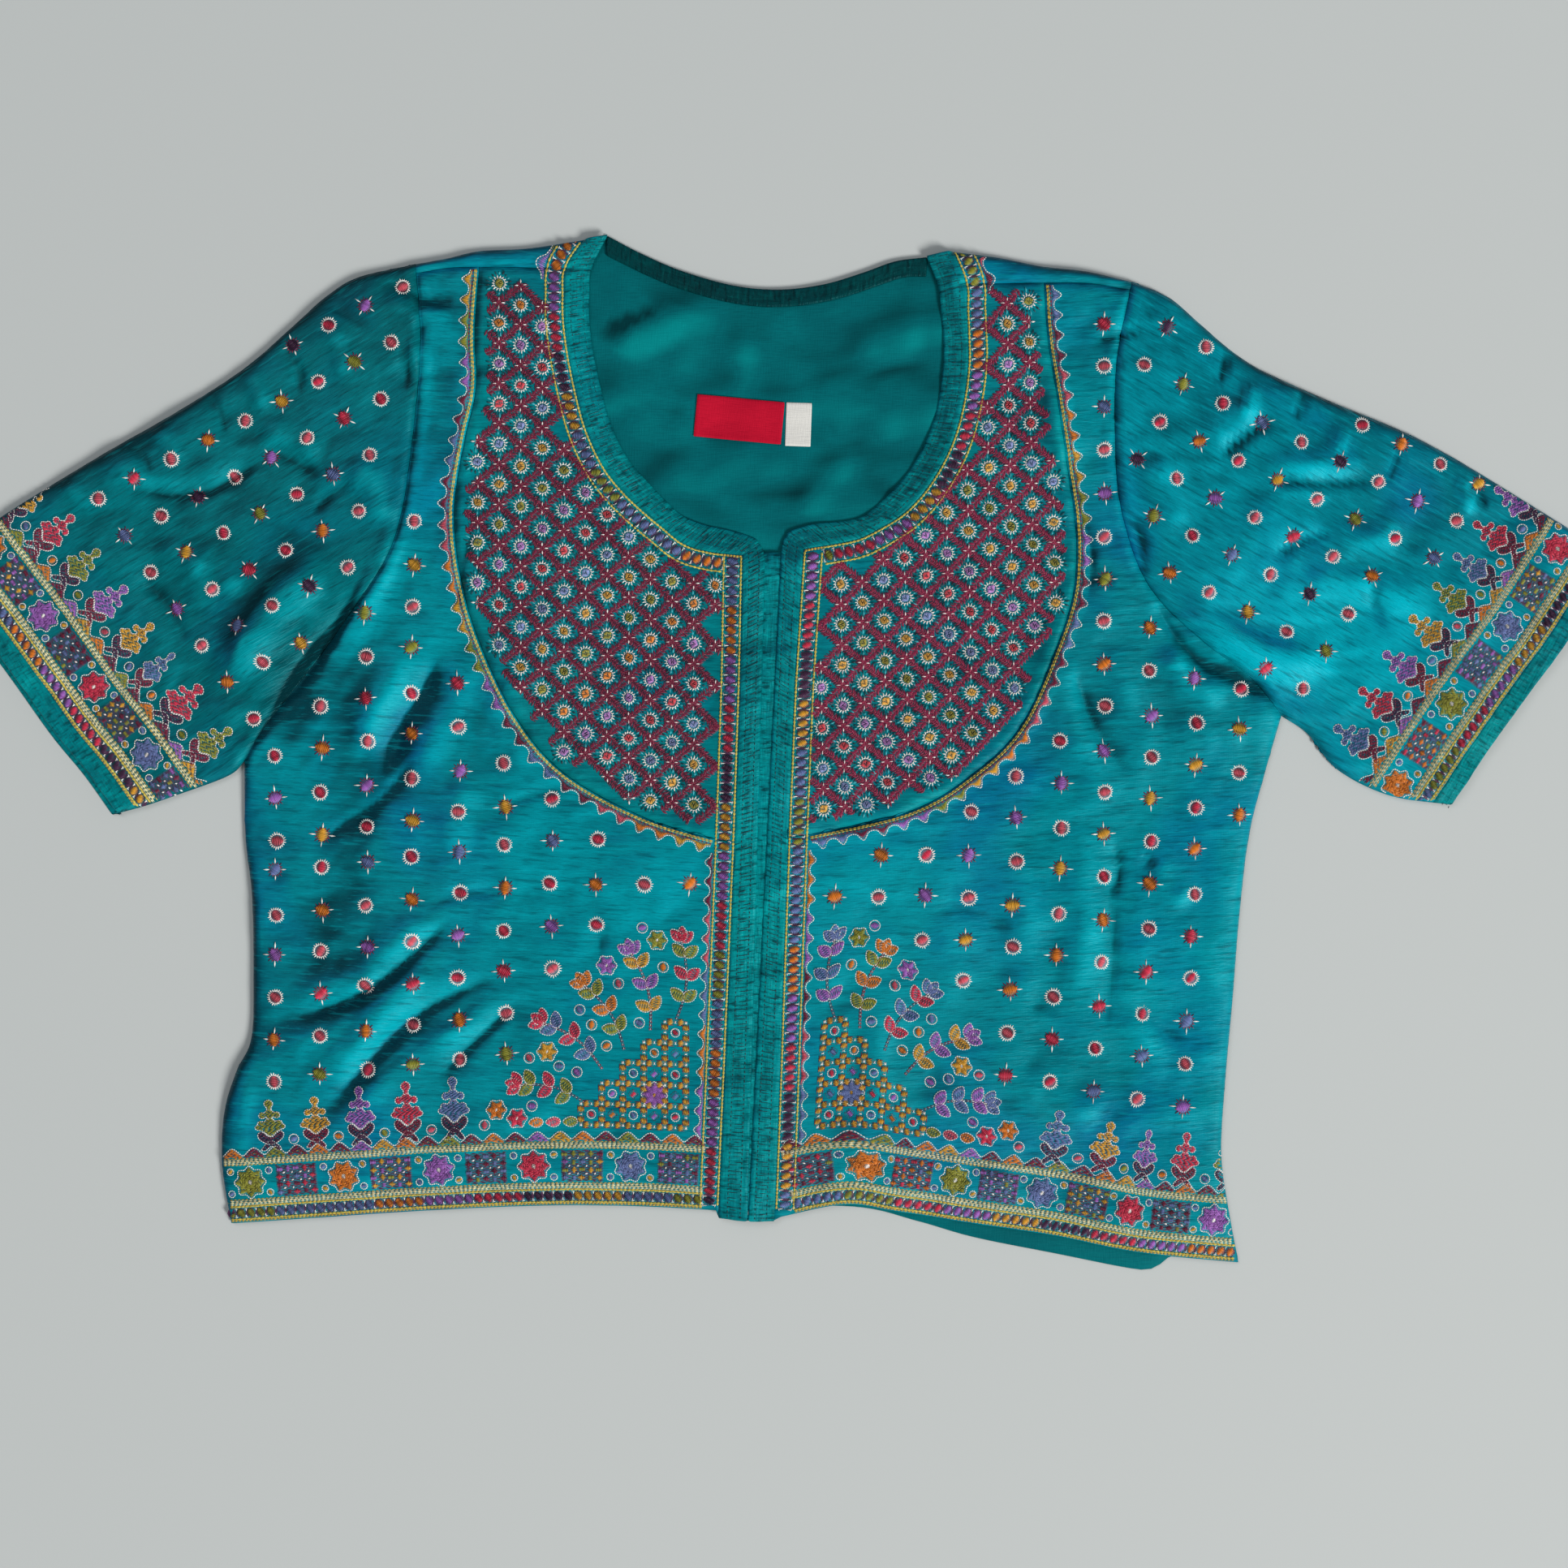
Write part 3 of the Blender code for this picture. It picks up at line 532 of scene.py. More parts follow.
lift = np.full(SHAPE, PUFF, np.float32)
for f in FOLDS:
    a, b = np.array([f["x0"], f["y0"]]), np.array([f["x1"], f["y1"]])
    add_crease(lift, np.linspace(a - 0.15 * (b - a), b + 0.15 * (b - a), 4),
               1.1 * f["half"], 1.1 * f["half"], 0.75 * f["rise"])
for places, left, right, height in CREASES:
    pts = [photo_mm(*(float(v) for v in p.split(","))) for p in places.split()]
    add_crease(lift, smooth(pts, 14), left, right, 1.35 * height)
lift += 0.55 * soft_noise(3, 34, 30) + 0.26 * soft_noise(4, 15, 11)
lift += 0.14 * soft_noise(5, 22, 4.5) + 0.10 * soft_noise(9, 7, 6)
SLEEVES = np.abs(GX)[None, :] > 200
lift += (0.09 * soft_noise(6, 5, 16, 35) * (GX > 0)[None, :]
         + 0.09 * soft_noise(7, 5, 16, -35) * (GX < 0)[None, :]) * SLEEVES
near_seam = np.exp(-(SEAMS / 9.0) ** 2)
lift += 0.22 * near_seam * soft_noise(8, 7, 3.2)
lift = np.clip(lift, 0.25, 11.2)
lift *= 0.04 + 0.96 * np.sqrt(np.clip(1 - (1 - np.clip(EDGE / 18.0, 0, 1)) ** 2.4, 0, 1))
lift *= 0.30 + 0.70 * ease(HEMS / 20.0)
lift *= 0.25 + 0.75 * ease(NECKS / 17.0)
lift -= 0.85 * np.exp(-(SEAMS / 1.25) ** 2) * (lift > 0.5)
lift += 0.32 * np.exp(-((SEAMS - 4.2) / 2.3) ** 2)
LIFTED = lift


def blurred(field, size):
    ky = np.fft.fftfreq(SHAPE[0], RES)[:, None] * 2 * np.pi
    kx = np.fft.rfftfreq(SHAPE[1], RES)[None, :] * 2 * np.pi
    return np.fft.irfft2(np.fft.rfft2(field) * np.exp(-0.5 * (kx ** 2 + ky ** 2) * size ** 2), SHAPE)


# Broad patches of painted light (+) and painted shade (-) on the silk: centre in the
# photograph's frame, half sizes in mm, amount.
LIGHT_SHADE_PATCHES = """
250,610 70 60 -.10 | 400,800 22 42 -.26 | 330,760 32 26 .20 | 200,800 30 26 .10
470,940 20 38 -.26 | 345,830 13 32 -.36 | 372,880 14 22 -.20 | 436,1030 15 28 -.20 | 400,1130 15 26 -.20 | 640,1040 60 30 .12 | 760,1090 60 36 .16 | 470,1250 50 36 -.12
360,1190 22 44 -.06 | 540,560 16 70 -.06 | 600,1420 60 14 .05 | 560,1180 50 20 .08
1550,770 58 30 .34 | 1680,790 40 30 .22 | 1620,640 60 34 .08 | 1600,520 60 26 -.12
1440,600 26 60 -.06 | 1380,560 20 60 -.05 | 1460,840 26 30 -.10 | 1500,1010 14 60 .05
1390,1180 30 60 .10 | 1120,1120 60 40 .10 | 1300,1290 40 40 -.06 | 1440,1290 24 50 .10
1180,1200 40 40 .06 | 480,380 50 16 -.10 | 1470,420 50 16 -.05 | 1770,640 26 40 -.10
1200,1400 60 20 -.05 | 760,1500 60 12 .06 | 1060,1060 40 30 .10 | 430,700 22 24 .14
"""


def fold_light_and_shade(height, patches=True, cast=0.85, hollow=0.34, fine=0.8):
    """Painted light and shade of the silk at each place: a painted highlight on slopes towards the light and
    on crests, painted shade in troughs, and the broad painted patches when patches is set. 0.5 is the plain
    colour."""
    soft = blurred(height, fine)
    gy, gx = np.gradient(soft, RES)
    lean = -(0.72 * gx - 0.69 * gy)
    out = 0.5 + cast * lean + hollow * (soft - blurred(height, 10.0)) / 2.2
    if patches:
        for item in LIGHT_SHADE_PATCHES.replace("\n", "|").split("|"):
            if item.strip():
                at, rx, ry, amount = item.split()
                x, y = photo_mm(*(float(v) for v in at.split(",")))
                out += float(amount) * np.exp(-((GX[None, :] - x) / float(rx)) ** 2
                                              - ((GY[:, None] - y) / float(ry)) ** 2)
    return np.clip(out, 0, 1).astype(np.float32)


# painted light and shade of the upper layer, carried to the cloth in its fold attribute
PAINTED_FOLD_SHADE = fold_light_and_shade(LIFTED)
SIDE_TURN = 2.4       # radius with which cloth turns down at an outline
MID_Z = 1.3           # height of that turned edge


def turned(p, top, bottom=MID_Z):
    """Height near an outline: the cloth turns down to bottom in a round fold."""
    k = np.sqrt(np.clip(1 - (1 - np.clip(sample(EDGE, p) / SIDE_TURN, 0, 1)) ** 2, 0, 1))
    return bottom + (top - bottom) * k


def ground(p):
    """Top of the upper layer of cloth at plan points."""
    return turned(p, REST + sample(LIFTED, p))


BACK_FIELD = (0.5 * soft_noise(11, 40, 14) + 0.16 * soft_noise(12, 16, 6)
              + 0.9 * np.exp(-(((GY[:, None] - 178) + 0.04 * GX[None, :]) / 9.0) ** 2)
              * ease((GX + 92) / 40)[None, :] * ease((86 - GX) / 50)[None, :])
BACK_FIELD = np.clip(BACK_FIELD + 0.5, 0.0, 1.9)
BACK_CREASES = [
    ("728,404 762,394 815,376", 4, 5, -1.5), ("728,420 775,420 850,384 905,378", 9, 8, 1.9),
    ("740,470 800,452 880,440", 8, 7, 0.9), ("736,520 800,500 860,506", 6, 6, -0.8),
    ("1050,470 1100,450 1148,452", 7, 6, -0.9), ("1040,432 1095,415 1148,416", 7, 7, 1.0),
    ("1030,570 1080,590 1120,640", 6, 6, -0.8), ("770,600 830,636 900,652", 7, 6, 0.9),
    ("860,590 930,610 1010,600", 8, 6, -0.7), ("1000,540 1060,520 1130,530", 8, 7, 0.8),
    ("905,400 915,450 900,500", 6, 6, 0.6), ("975,640 1010,600 1060,560", 6, 7, 0.8),
]
for places, left, right, height in BACK_CREASES:
    pts = [photo_mm(*(float(v) for v in p.split(","))) for p in places.split()]
    add_crease(BACK_FIELD, smooth(pts, 12), left, right, height)
BACK_FIELD = np.clip(BACK_FIELD + 0.35, 0.0, 3.2)
_neck_top = distance_field([smooth(xy(BACK_NECK), 60)], 24)
BACK_FIELD = (BACK_FIELD * (0.12 + 0.88 * ease(_neck_top / 20)) * ease((GY + 40) / 60)[:, None])
# painted light and shade of the back's creases, stronger than on the front
BACK_PAINTED_SHADE = fold_light_and_shade(BACK_FIELD, False, 2.4, 0.8, 2.6)


def back_ground(p):
    """Top of the back panel, seen inside the neck."""
    return BACK_TOP + sample(BACK_FIELD, p)


# ---------------------------------------------------------------- materials
def srgb(*c):
    c = np.array(c, float) / 255.0
    return tuple(np.where(c <= 0.04045, c / 12.92, ((c + 0.055) / 1.055) ** 2.4))


class Nodes:
    """Short calls for building a material's node tree."""

    def __init__(self, name):
        self.mat = bpy.data.materials.new(name)
        self.mat.use_nodes = True
        self.tree = self.mat.node_tree
        self.bsdf = self.tree.nodes["Principled BSDF"]

    def add(self, kind, inputs=(), **attrs):
        n = self.tree.nodes.new(kind)
        for k, v in attrs.items():
            setattr(n, k, v)
        for k, v in dict(inputs).items():
            if isinstance(v, bpy.types.NodeSocket):
                self.tree.links.new(v, n.inputs[k])
            else:
                n.inputs[k].default_value = v
        return n

    def math(self, op, a, b=0.0, clamp=False):
        n = self.add("ShaderNodeMath", {0: a, 1: b}, operation=op)
        n.use_clamp = clamp
        return n.outputs[0]

    def noise(self, vector, scale, detail=2.0, rough=0.5):
        return self.add("ShaderNodeTexNoise", {"Vector": vector, "Scale": scale, "Detail": detail,
                                               "Roughness": rough}).outputs["Fac"]

    def stretch(self, vector, x, y, z=1.0):
        return self.add("ShaderNodeVectorMath", {0: vector, 1: (x, y, z)},
                        operation="MULTIPLY").outputs[0]

    def range(self, value, lo, hi, to_lo=0.0, to_hi=1.0):
        return self.add("ShaderNodeMapRange", {"Value": value, "From Min": lo, "From Max": hi,
                                               "To Min": to_lo, "To Max": to_hi}).outputs[0]

    def mix(self, fac, a, b, kind="MIX"):
        n = self.add("ShaderNodeMix", data_type="RGBA", blend_type=kind)
        for sock, v in ((n.inputs[0], fac), (n.inputs[6], a), (n.inputs[7], b)):
            if isinstance(v, bpy.types.NodeSocket):
                self.tree.links.new(v, sock)
            else:
                sock.default_value = (*v, 1.0) if isinstance(v, tuple) else v
        return n.outputs[2]

    def put(self, **values):
        for k, v in values.items():
            sock = self.bsdf.inputs[k.replace("_", " ")]
            if isinstance(v, bpy.types.NodeSocket):
                self.tree.links.new(v, sock)
            else:
                sock.default_value = v


def silk(name, base, shot, deep, glow, patch=0.55, grain=1.0, sheen=0.04, rough=0.42, pucker=0.0):
    """Handloom silk: shot colour, slubs along the weft and a fine crisp weave, with painted light and shade
    from the fold attribute, along the crinkles and the tucks, and a painted blue sheen where it leans away
    from the window.
    """
    n = Nodes(name)
    uv = n.add("ShaderNodeUVMap", uv_map="grain").outputs[0]
    place = n.add("ShaderNodeNewGeometry")
    normal = n.add("ShaderNodeSeparateXYZ", {0: place.outputs["Normal"]})
    obj = n.add("ShaderNodeTexCoord").outputs["Object"]
    fold = n.add("ShaderNodeAttribute", attribute_name="fold").outputs["Fac"]
    slub = n.noise(n.stretch(uv, 170, 1350), 1.0, 2.0, 0.6)
    long_slub = n.noise(n.stretch(uv, 62, 420), 1.0, 2.0, 0.55)
    crinkle = n.noise(n.stretch(uv, 55, 460), 1.0, 2.0, 0.6)
    weft = n.noise(n.stretch(uv, 260, 2600), 1.0, 1.0, 0.5)
    warp = n.noise(n.stretch(uv, 1900, 90), 1.0, 1.0, 0.5)
    cloud = n.noise(obj, 13.0, 2.0, 0.55)
    broad = n.noise(obj, 5.0, 1.0, 0.5)
    # painted sheen: cloth that leans away from the window side is painted in the blue of the shot warp, added
    # to random cloudy patches of that blue
    lean = n.math("MULTIPLY_ADD", normal.outputs["X"], -0.9)
    lean.node.inputs[2].default_value = 0.0
    lean = n.math("ADD", lean, n.math("MULTIPLY", normal.outputs["Y"], 1.0))
    blue = n.math("ADD", n.range(cloud, 0.50, 0.72, 0.0, patch), n.range(lean, 0.05, 0.60, 0.0, 0.5),
                  clamp=True)
    tone = n.mix(blue, base, shot)
    tone = n.mix(n.range(broad, 0.38, 0.66, 0.0, 0.42), tone, glow)
    # painted highlight where the fold attribute is high, painted shade where it is low
    tone = n.mix(n.range(fold, 0.57, 1.0, 0.0, 0.9), tone, tuple(1.25 * v for v in glow))
    tone = n.mix(n.range(fold, 0.47, 0.08, 0.0, 0.92), tone, tuple(0.42 * v for v in deep))
    dark = n.math("MULTIPLY", n.range(slub, 0.52, 0.74, 0.0, 0.50), n.range(long_slub, 0.35, 0.6))
    tone = n.mix(n.math("MULTIPLY", dark, grain), tone, deep)
    light = n.math("MULTIPLY", n.range(slub, 0.44, 0.28, 0.0, 0.42), n.range(long_slub, 0.6, 0.4))
    tone = n.mix(n.math("MULTIPLY", light, grain), tone, glow)
    tone = n.mix(n.range(weft, 0.3, 0.7, 0.0, 0.22), tone, deep)
    # painted shade and highlight following the fine crinkles that the bump draws
    tone = n.mix(n.range(crinkle, 0.55, 0.68, 0.0, 0.46 * grain), tone, deep)
    tone = n.mix(n.range(crinkle, 0.44, 0.34, 0.0, 0.30 * grain), tone, glow)
    height = n.math("ADD", n.math("MULTIPLY", slub, 0.62 * grain),
                    n.math("ADD", n.math("MULTIPLY", long_slub, 0.40 * grain),
                           n.math("ADD", n.math("MULTIPLY", weft, 0.20),
                                  n.math("MULTIPLY", warp, 0.12))))
    height = n.math("ADD", height, n.math("MULTIPLY", crinkle, 1.5))
    if pucker:
        tuck = n.noise(n.stretch(uv, 620, 150), 1.0, 2.0, 0.6)
        height = n.math("ADD", height, n.math("MULTIPLY", tuck, 2.0 * pucker))
        # painted shade and highlight along the tucks of the puckers
        tone = n.mix(n.range(tuck, 0.52, 0.68, 0.0, 0.8 * pucker), tone, tuple(0.6 * v for v in deep))
        tone = n.mix(n.range(tuck, 0.43, 0.30, 0.0, 0.6 * pucker), tone, glow)
    bump = n.add("ShaderNodeBump", {"Strength": 0.8, "Distance": 0.00045, "Height": height})
    n.put(Base_Color=tone, Normal=bump.outputs[0],
          Roughness=n.range(slub, 0.3, 0.7, rough - 0.06, rough + 0.1))
    n.put(Specular_IOR_Level=0.17, Sheen_Weight=sheen, Sheen_Roughness=0.38,
          Sheen_Tint=(0.05, 0.80, 0.95, 1.0), Specular_Tint=(0.30, 0.92, 1.0, 1.0), Anisotropic=0.4)
    return n.mat


def cotton(name, base, deep, pitch=1500.0, sheen=0.0, glow=None):
    """Plain matt cloth with a close even weave."""
    n = Nodes(name)
    uv = n.add("ShaderNodeUVMap", uv_map="grain").outputs[0]
    fold = n.add("ShaderNodeAttribute", attribute_name="fold").outputs["Fac"]
    obj = n.add("ShaderNodeTexCoord").outputs["Object"]
    a = n.noise(n.stretch(uv, 150, pitch), 1.0, 1.0)
    b = n.noise(n.stretch(uv, pitch, 150), 1.0, 1.0)
    cloud = n.noise(obj, 26.0, 2.0, 0.6)
    tone = n.mix(n.range(cloud, 0.35, 0.7, 0.0, 0.6), base, deep)
    tone = n.mix(n.range(a, 0.42, 0.7, 0.0, 0.35), tone, deep)
    # painted highlight and painted shade from the fold attribute
    if glow:
        tone = n.mix(n.range(fold, 0.55, 0.95, 0.0, 0.9), tone, glow)
        tone = n.mix(n.range(fold, 0.48, 0.08, 0.0, 0.9), tone, tuple(0.4 * v for v in deep))
    bump = n.add("ShaderNodeBump", {"Strength": 0.6, "Distance": 0.0003,
                                    "Height": n.math("ADD", a, b)})
    n.put(Base_Color=tone, Normal=bump.outputs[0])
    n.put(Roughness=0.66, Specular_IOR_Level=0.05, Sheen_Weight=sheen, Sheen_Roughness=0.5)
    return n.mat


# DEEP and GLOW: darker and lighter teal of the slubs and weave, also used as painted shade and painted
# highlight
TEAL, BLUE = srgb(0, 131, 144), srgb(0, 92, 164)
DEEP, GLOW = srgb(0, 64, 78), srgb(0, 166, 180)
SILK = {
    "body": silk("silk_body", TEAL, BLUE, DEEP, GLOW),
    # the wearer's right sleeve is a darker copy of the sleeve silk, painted shade; the left sleeve has a
    # brighter glow, painted light
    "sleeve_r": silk("silk_sleeve_r_shaded", srgb(0, 99, 106), srgb(0, 74, 122), srgb(0, 50, 60), srgb(0, 144, 154),
                     patch=0.6),
    "sleeve": silk("silk_sleeve_l_lit", srgb(0, 126, 142), srgb(0, 88, 160), DEEP, srgb(0, 178, 196), patch=0.75),
    "yoke": silk("silk_yoke", srgb(0, 122, 130), srgb(0, 92, 140), DEEP, srgb(0, 152, 158)),
    "binding": silk("silk_binding", srgb(0, 134, 140), srgb(0, 104, 146), srgb(0, 58, 68), srgb(0, 170, 172),
                    patch=0.3, grain=0.8, pucker=1.0),
    "facing": silk("silk_facing", srgb(0, 60, 64), srgb(0, 50, 68), srgb(0, 30, 36), srgb(0, 84, 84),
                   patch=0.3, grain=0.8, pucker=0.9),
    "cuff": silk("silk_cuff", srgb(0, 126, 132), srgb(0, 96, 132), srgb(0, 52, 62),
                 srgb(0, 162, 164), patch=0.3, grain=0.8, pucker=0.8),
    # the lining's glow colour is its painted highlight
    "inside": cotton("lining", srgb(0, 112, 118), srgb(0, 84, 92), glow=srgb(0, 140, 142)),
    "red": cotton("label_red", srgb(205, 22, 52), srgb(168, 10, 40), 2200.0),
    "white": cotton("label_white", srgb(236, 234, 228), srgb(214, 212, 208), 2200.0),
}


# --------------------------------------------------------------- mesh making
def write_mesh(name, verts, faces, mats, mat_index=None, uv=None, smooth=True, fold=None):
    """faces: arrays of corner indices, all of one size to an array."""
    me = bpy.data.meshes.new(name)
    me.vertices.add(len(verts))
    me.vertices.foreach_set("co", (np.asarray(verts) * MM).astype(np.float32).ravel())
    corners = np.concatenate([f.ravel() for f in faces]).astype(np.int32)
    sizes = np.concatenate([np.full(len(f), f.shape[1]) for f in faces])
    me.loops.add(len(corners))
    me.loops.foreach_set("vertex_index", corners)
    me.polygons.add(len(sizes))
    me.polygons.foreach_set("loop_start", np.r_[0, np.cumsum(sizes)[:-1]].astype(np.int32))
    for m in mats:
        me.materials.append(m)
    if mat_index is not None:
        me.polygons.foreach_set("material_index", np.asarray(mat_index, np.int32))
    if uv is not None:
        layer = me.uv_layers.new(name="grain")
        layer.data.foreach_set("uv", np.asarray(uv, np.float32)[corners].ravel())
    # fold: painted light and shade per vertex, read by the cloth materials
    if fold is not None:
        layer = me.attributes.new("fold", "FLOAT", "POINT")
        layer.data.foreach_set("value", np.asarray(fold, np.float32))
    me.update(calc_edges=True)
    me.validate()
    if smooth:
        me.shade_smooth()
    ob = bpy.data.objects.new(name, me)
    bpy.context.scene.collection.objects.link(ob)
    return ob


def grid_normals(g, ring=False):
    if ring:
        w = np.concatenate([g[:, -1:], g, g[:, :1]], axis=1)
        du = (w[:, 2:] - w[:, :-2])
    else:
        du = np.gradient(g, axis=1)
    dv = np.gradient(g, axis=0)
    n = np.cross(dv, du)
    return n / np.maximum(np.linalg.norm(n, axis=2), 1e-9)[..., None]


def shell(top, thick, ring=False, face=None):
    """Vertices and quads of a closed thin shell under a grid of outer points.
    face picks the columns whose outer side looks up."""
    top = np.asarray(top, float)
    nv, nu = top.shape[:2]
    normals = grid_normals(top, ring)
    way = 1.0 if normals[:, face or slice(None), 2].mean() > 0 else -1.0
    low = top - normals * thick * way
    idx = np.arange(nv * nu).reshape(nv, nu)
    verts = [top.reshape(-1, 3), low.reshape(-1, 3)]
    src = [idx.ravel(), idx.ravel()]
    if ring:
        cols = np.c_[idx, idx[:, :1]]
    else:
        cols = idx
    quad = np.stack([cols[:-1, :-1], cols[:-1, 1:], cols[1:, 1:], cols[1:, :-1]], -1).reshape(-1, 4)
    faces = [quad[:, ::-1], quad + nv * nu]
    if ring:
        loops = [(np.r_[idx[0], idx[0][:1]], np.r_[idx[1], idx[1][:1]]),
                 (np.r_[idx[-1], idx[-1][:1]][::-1], np.r_[idx[-2], idx[-2][:1]][::-1])]
    else:
        edge_ = np.r_[idx[0], idx[1:, -1], idx[-1, :-1][::-1], idx[:-1, 0][::-1]]
        inn = np.r_[idx[1], idx[1:, -2], idx[-2, :-1][::-1], idx[:-1, 1][::-1]]
        loops = [(edge_, inn)]
    flat_top, flat_low = verts[0], verts[1]
    base = 2 * nv * nu
    for e, i in loops:
        mid = (flat_top[e] + flat_low[e]) / 2
        away = flat_top[e] - flat_top[i]
        away /= np.maximum(np.linalg.norm(away, axis=1), 1e-9)[:, None]
        verts.append(mid + 0.42 * thick * away)
        src.append(e)
        r = base + np.arange(len(e))
        base += len(e)
        faces.append(np.stack([e[:-1], e[1:], r[1:], r[:-1]], -1))
        faces.append(np.stack([r[:-1], r[1:], e[1:] + nv * nu, e[:-1] + nv * nu], -1))
    if way < 0:
        faces = [f[:, ::-1] for f in faces]
    return np.vstack(verts), faces, np.concatenate(src)


def cloth(name, top, thick, mat, uv, ring=False, face=None, light=None):
    """A cloth piece as one closed shell; uv is the plan place on its grain, mm."""
    verts, faces, src = shell(top, thick, ring, face)
    flat_uv = np.asarray(uv, float).reshape(-1, 2)[src] * MM
    # fold: the painted light and shade under each vertex, from light when given
    fold = sample(PAINTED_FOLD_SHADE if light is None else light, verts[:, :2])
    return write_mesh(name, verts, faces, [mat], uv=flat_uv, fold=fold)


def join(name, obs):
    """Several meshes as one piece, kept as separate shells."""
    for o in obs:
        o.select_set(True)
    bpy.context.view_layer.objects.active = obs[0]
    with bpy.context.temp_override(active_object=obs[0], selected_editable_objects=obs):
        bpy.ops.object.join()
    obs[0].name = name
    return obs[0]


def grain(points, turn=0.0):
    """Plan points as places on the cloth's grain; turn is the weft's direction."""
    c, s = math.cos(math.radians(turn)), math.sin(math.radians(turn))
    return np.stack([points[..., 0] * c + points[..., 1] * s,
                     -points[..., 0] * s + points[..., 1] * c], -1)


def ride(ob, slot_name, *nodes):
    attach(ob, "root")
    if nodes:
        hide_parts(*nodes)
    return ob


# ------------------------------------------------------------ panel outlines
FINE = 190
edge = {}
for s in "rl":
    tip = np.array(xy(SHOULDER[s], "xf", "yf")[0])
    edge[s, "armhole"] = smooth(side_points(ARMHOLE, s), FINE // 2)
    edge[s, "tip"] = tip
    edge[s, "side"] = smooth(side_points(SIDE, s), FINE // 2)
    edge[s, "yoke"] = smooth(side_points(YOKE, s), 124)
    neck = side_points(NECK, s)
    coarse = np.vstack([[neck[0]], smooth(neck[1:], 9)])
    top_, bot_ = PLACKET
    turn = -1 if s == "r" else 1
    outer = offset_side(coarse, BINDING_W, turn)
    outer[0] = xy(SHOULDER[s], "xf", "yf")[-1]
    outer[1] = xy(SHOULDER[s], "xs", "ys")[-1]
    outer[-1] = (top_[s + "o"], top_["y_" + s + "o"])
    edge[s, "neck_in"] = smooth(coarse[1:], 86)
    edge[s, "neck_out"] = smooth(outer[1:], 86)
    edge[s, "neck_tip"] = (outer[0], coarse[0])
    o_top = np.array([-17.2, 99.8]) if s == "r" else np.array([16.0, 102.6])
    o_bot = np.array([bot_[s + "o"], bot_["y_" + s + "o"]])
    i_top = np.array([top_[s + "i"], top_["y_" + s + "i"]])
    i_bot = np.array([bot_[s + "i"], bot_["y_" + s + "i"]])
    y_end = edge[s, "yoke"][-1][1]
    f_end = (o_top[1] - y_end) / (o_top[1] - o_bot[1])
    sway = ((0, .2, .42, .63, .82, 1), (2.2, 2.7, 2.2, 1.2, 0.2, -0.9)) if s == "r" else \
        ((0, .2, .42, .63, .82, 1), (-0.6, -2.2, -2.1, -1.6, -1.0, -0.7))

    def outer_line(f, o_top=o_top, o_bot=o_bot, sway=sway):
        return o_top + f[:, None] * (o_bot - o_top) + np.c_[np.interp(f, *sway), 0 * f]

    edge[s, "p_up"] = outer_line(np.linspace(0, f_end, 39))
    edge[s, "p_low"] = outer_line(np.linspace(f_end, 1, 67))
    edge[s, "yoke"][-1] = edge[s, "p_up"][-1] - ((0.9 if s == "r" else -0.9), 0)
    # the neck's binding turns round into the placket in a rounded corner
    corner = [(-6.5, 105.5), (-4.9, 102.0), (-4.0, 97.0), (-4.1, 80.0)] if s == "r" else \
        [(6.6, 109.2), (5.2, 106.3), (4.4, 101.5), (4.6, 84.0)]
    run_in = [(-45.9, 120.0), (-30.9, 114.1), (-15.8, 111.3), (-9.2, 108.3)] if s == "r" else \
        [(44.3, 118.9), (34.3, 116.8), (24.2, 116.0), (14.2, 114.1), (9.0, 111.9)]
    run_out = [(-45.9, 106.5), (-39.9, 103.8), (-33.9, 102.0), (-25.8, 100.6)] if s == "r" else \
        [(44.3, 108.5), (32.3, 105.6), (24.2, 104.5)]
    edge[s, "p_out"] = outer_line(np.linspace(0, 1, 281))
    turn_in = np.vstack([smooth(np.array(corner[:3]), 16), [i_bot]])
    down = np.linspace(turn_in[0, 1], turn_in[-1, 1], 281)
    edge[s, "p_in"] = np.stack([np.interp(-down, -turn_in[:, 1], turn_in[:, 0]), down], -1)
    reach = abs(run_in[0][0]) + 4.0
    keep_in = [q for q in coarse[1:] if abs(q[0]) > reach]
    keep_out = [q for q in outer[1:-1] if abs(q[0]) > reach]
    edge[s, "neck_in"] = smooth(np.vstack([keep_in, run_in, corner[:1]]), 86)
    edge[s, "neck_out"] = smooth(np.vstack([keep_out, run_out, edge[s, "p_up"][:1]]), 86)


def pull_in(grid, amount, edges):
    return seam_in(grid, amount, edges)


def refine_edges(grid, cols):
    """Extra columns close to the first column, for cloth that turns down there."""
    first, second = grid[:, :1], grid[:, 1:2]
    extra = [first + f * (second - first) for f in cols]
    return np.concatenate([first, *extra, grid[:, 1:]], axis=1)


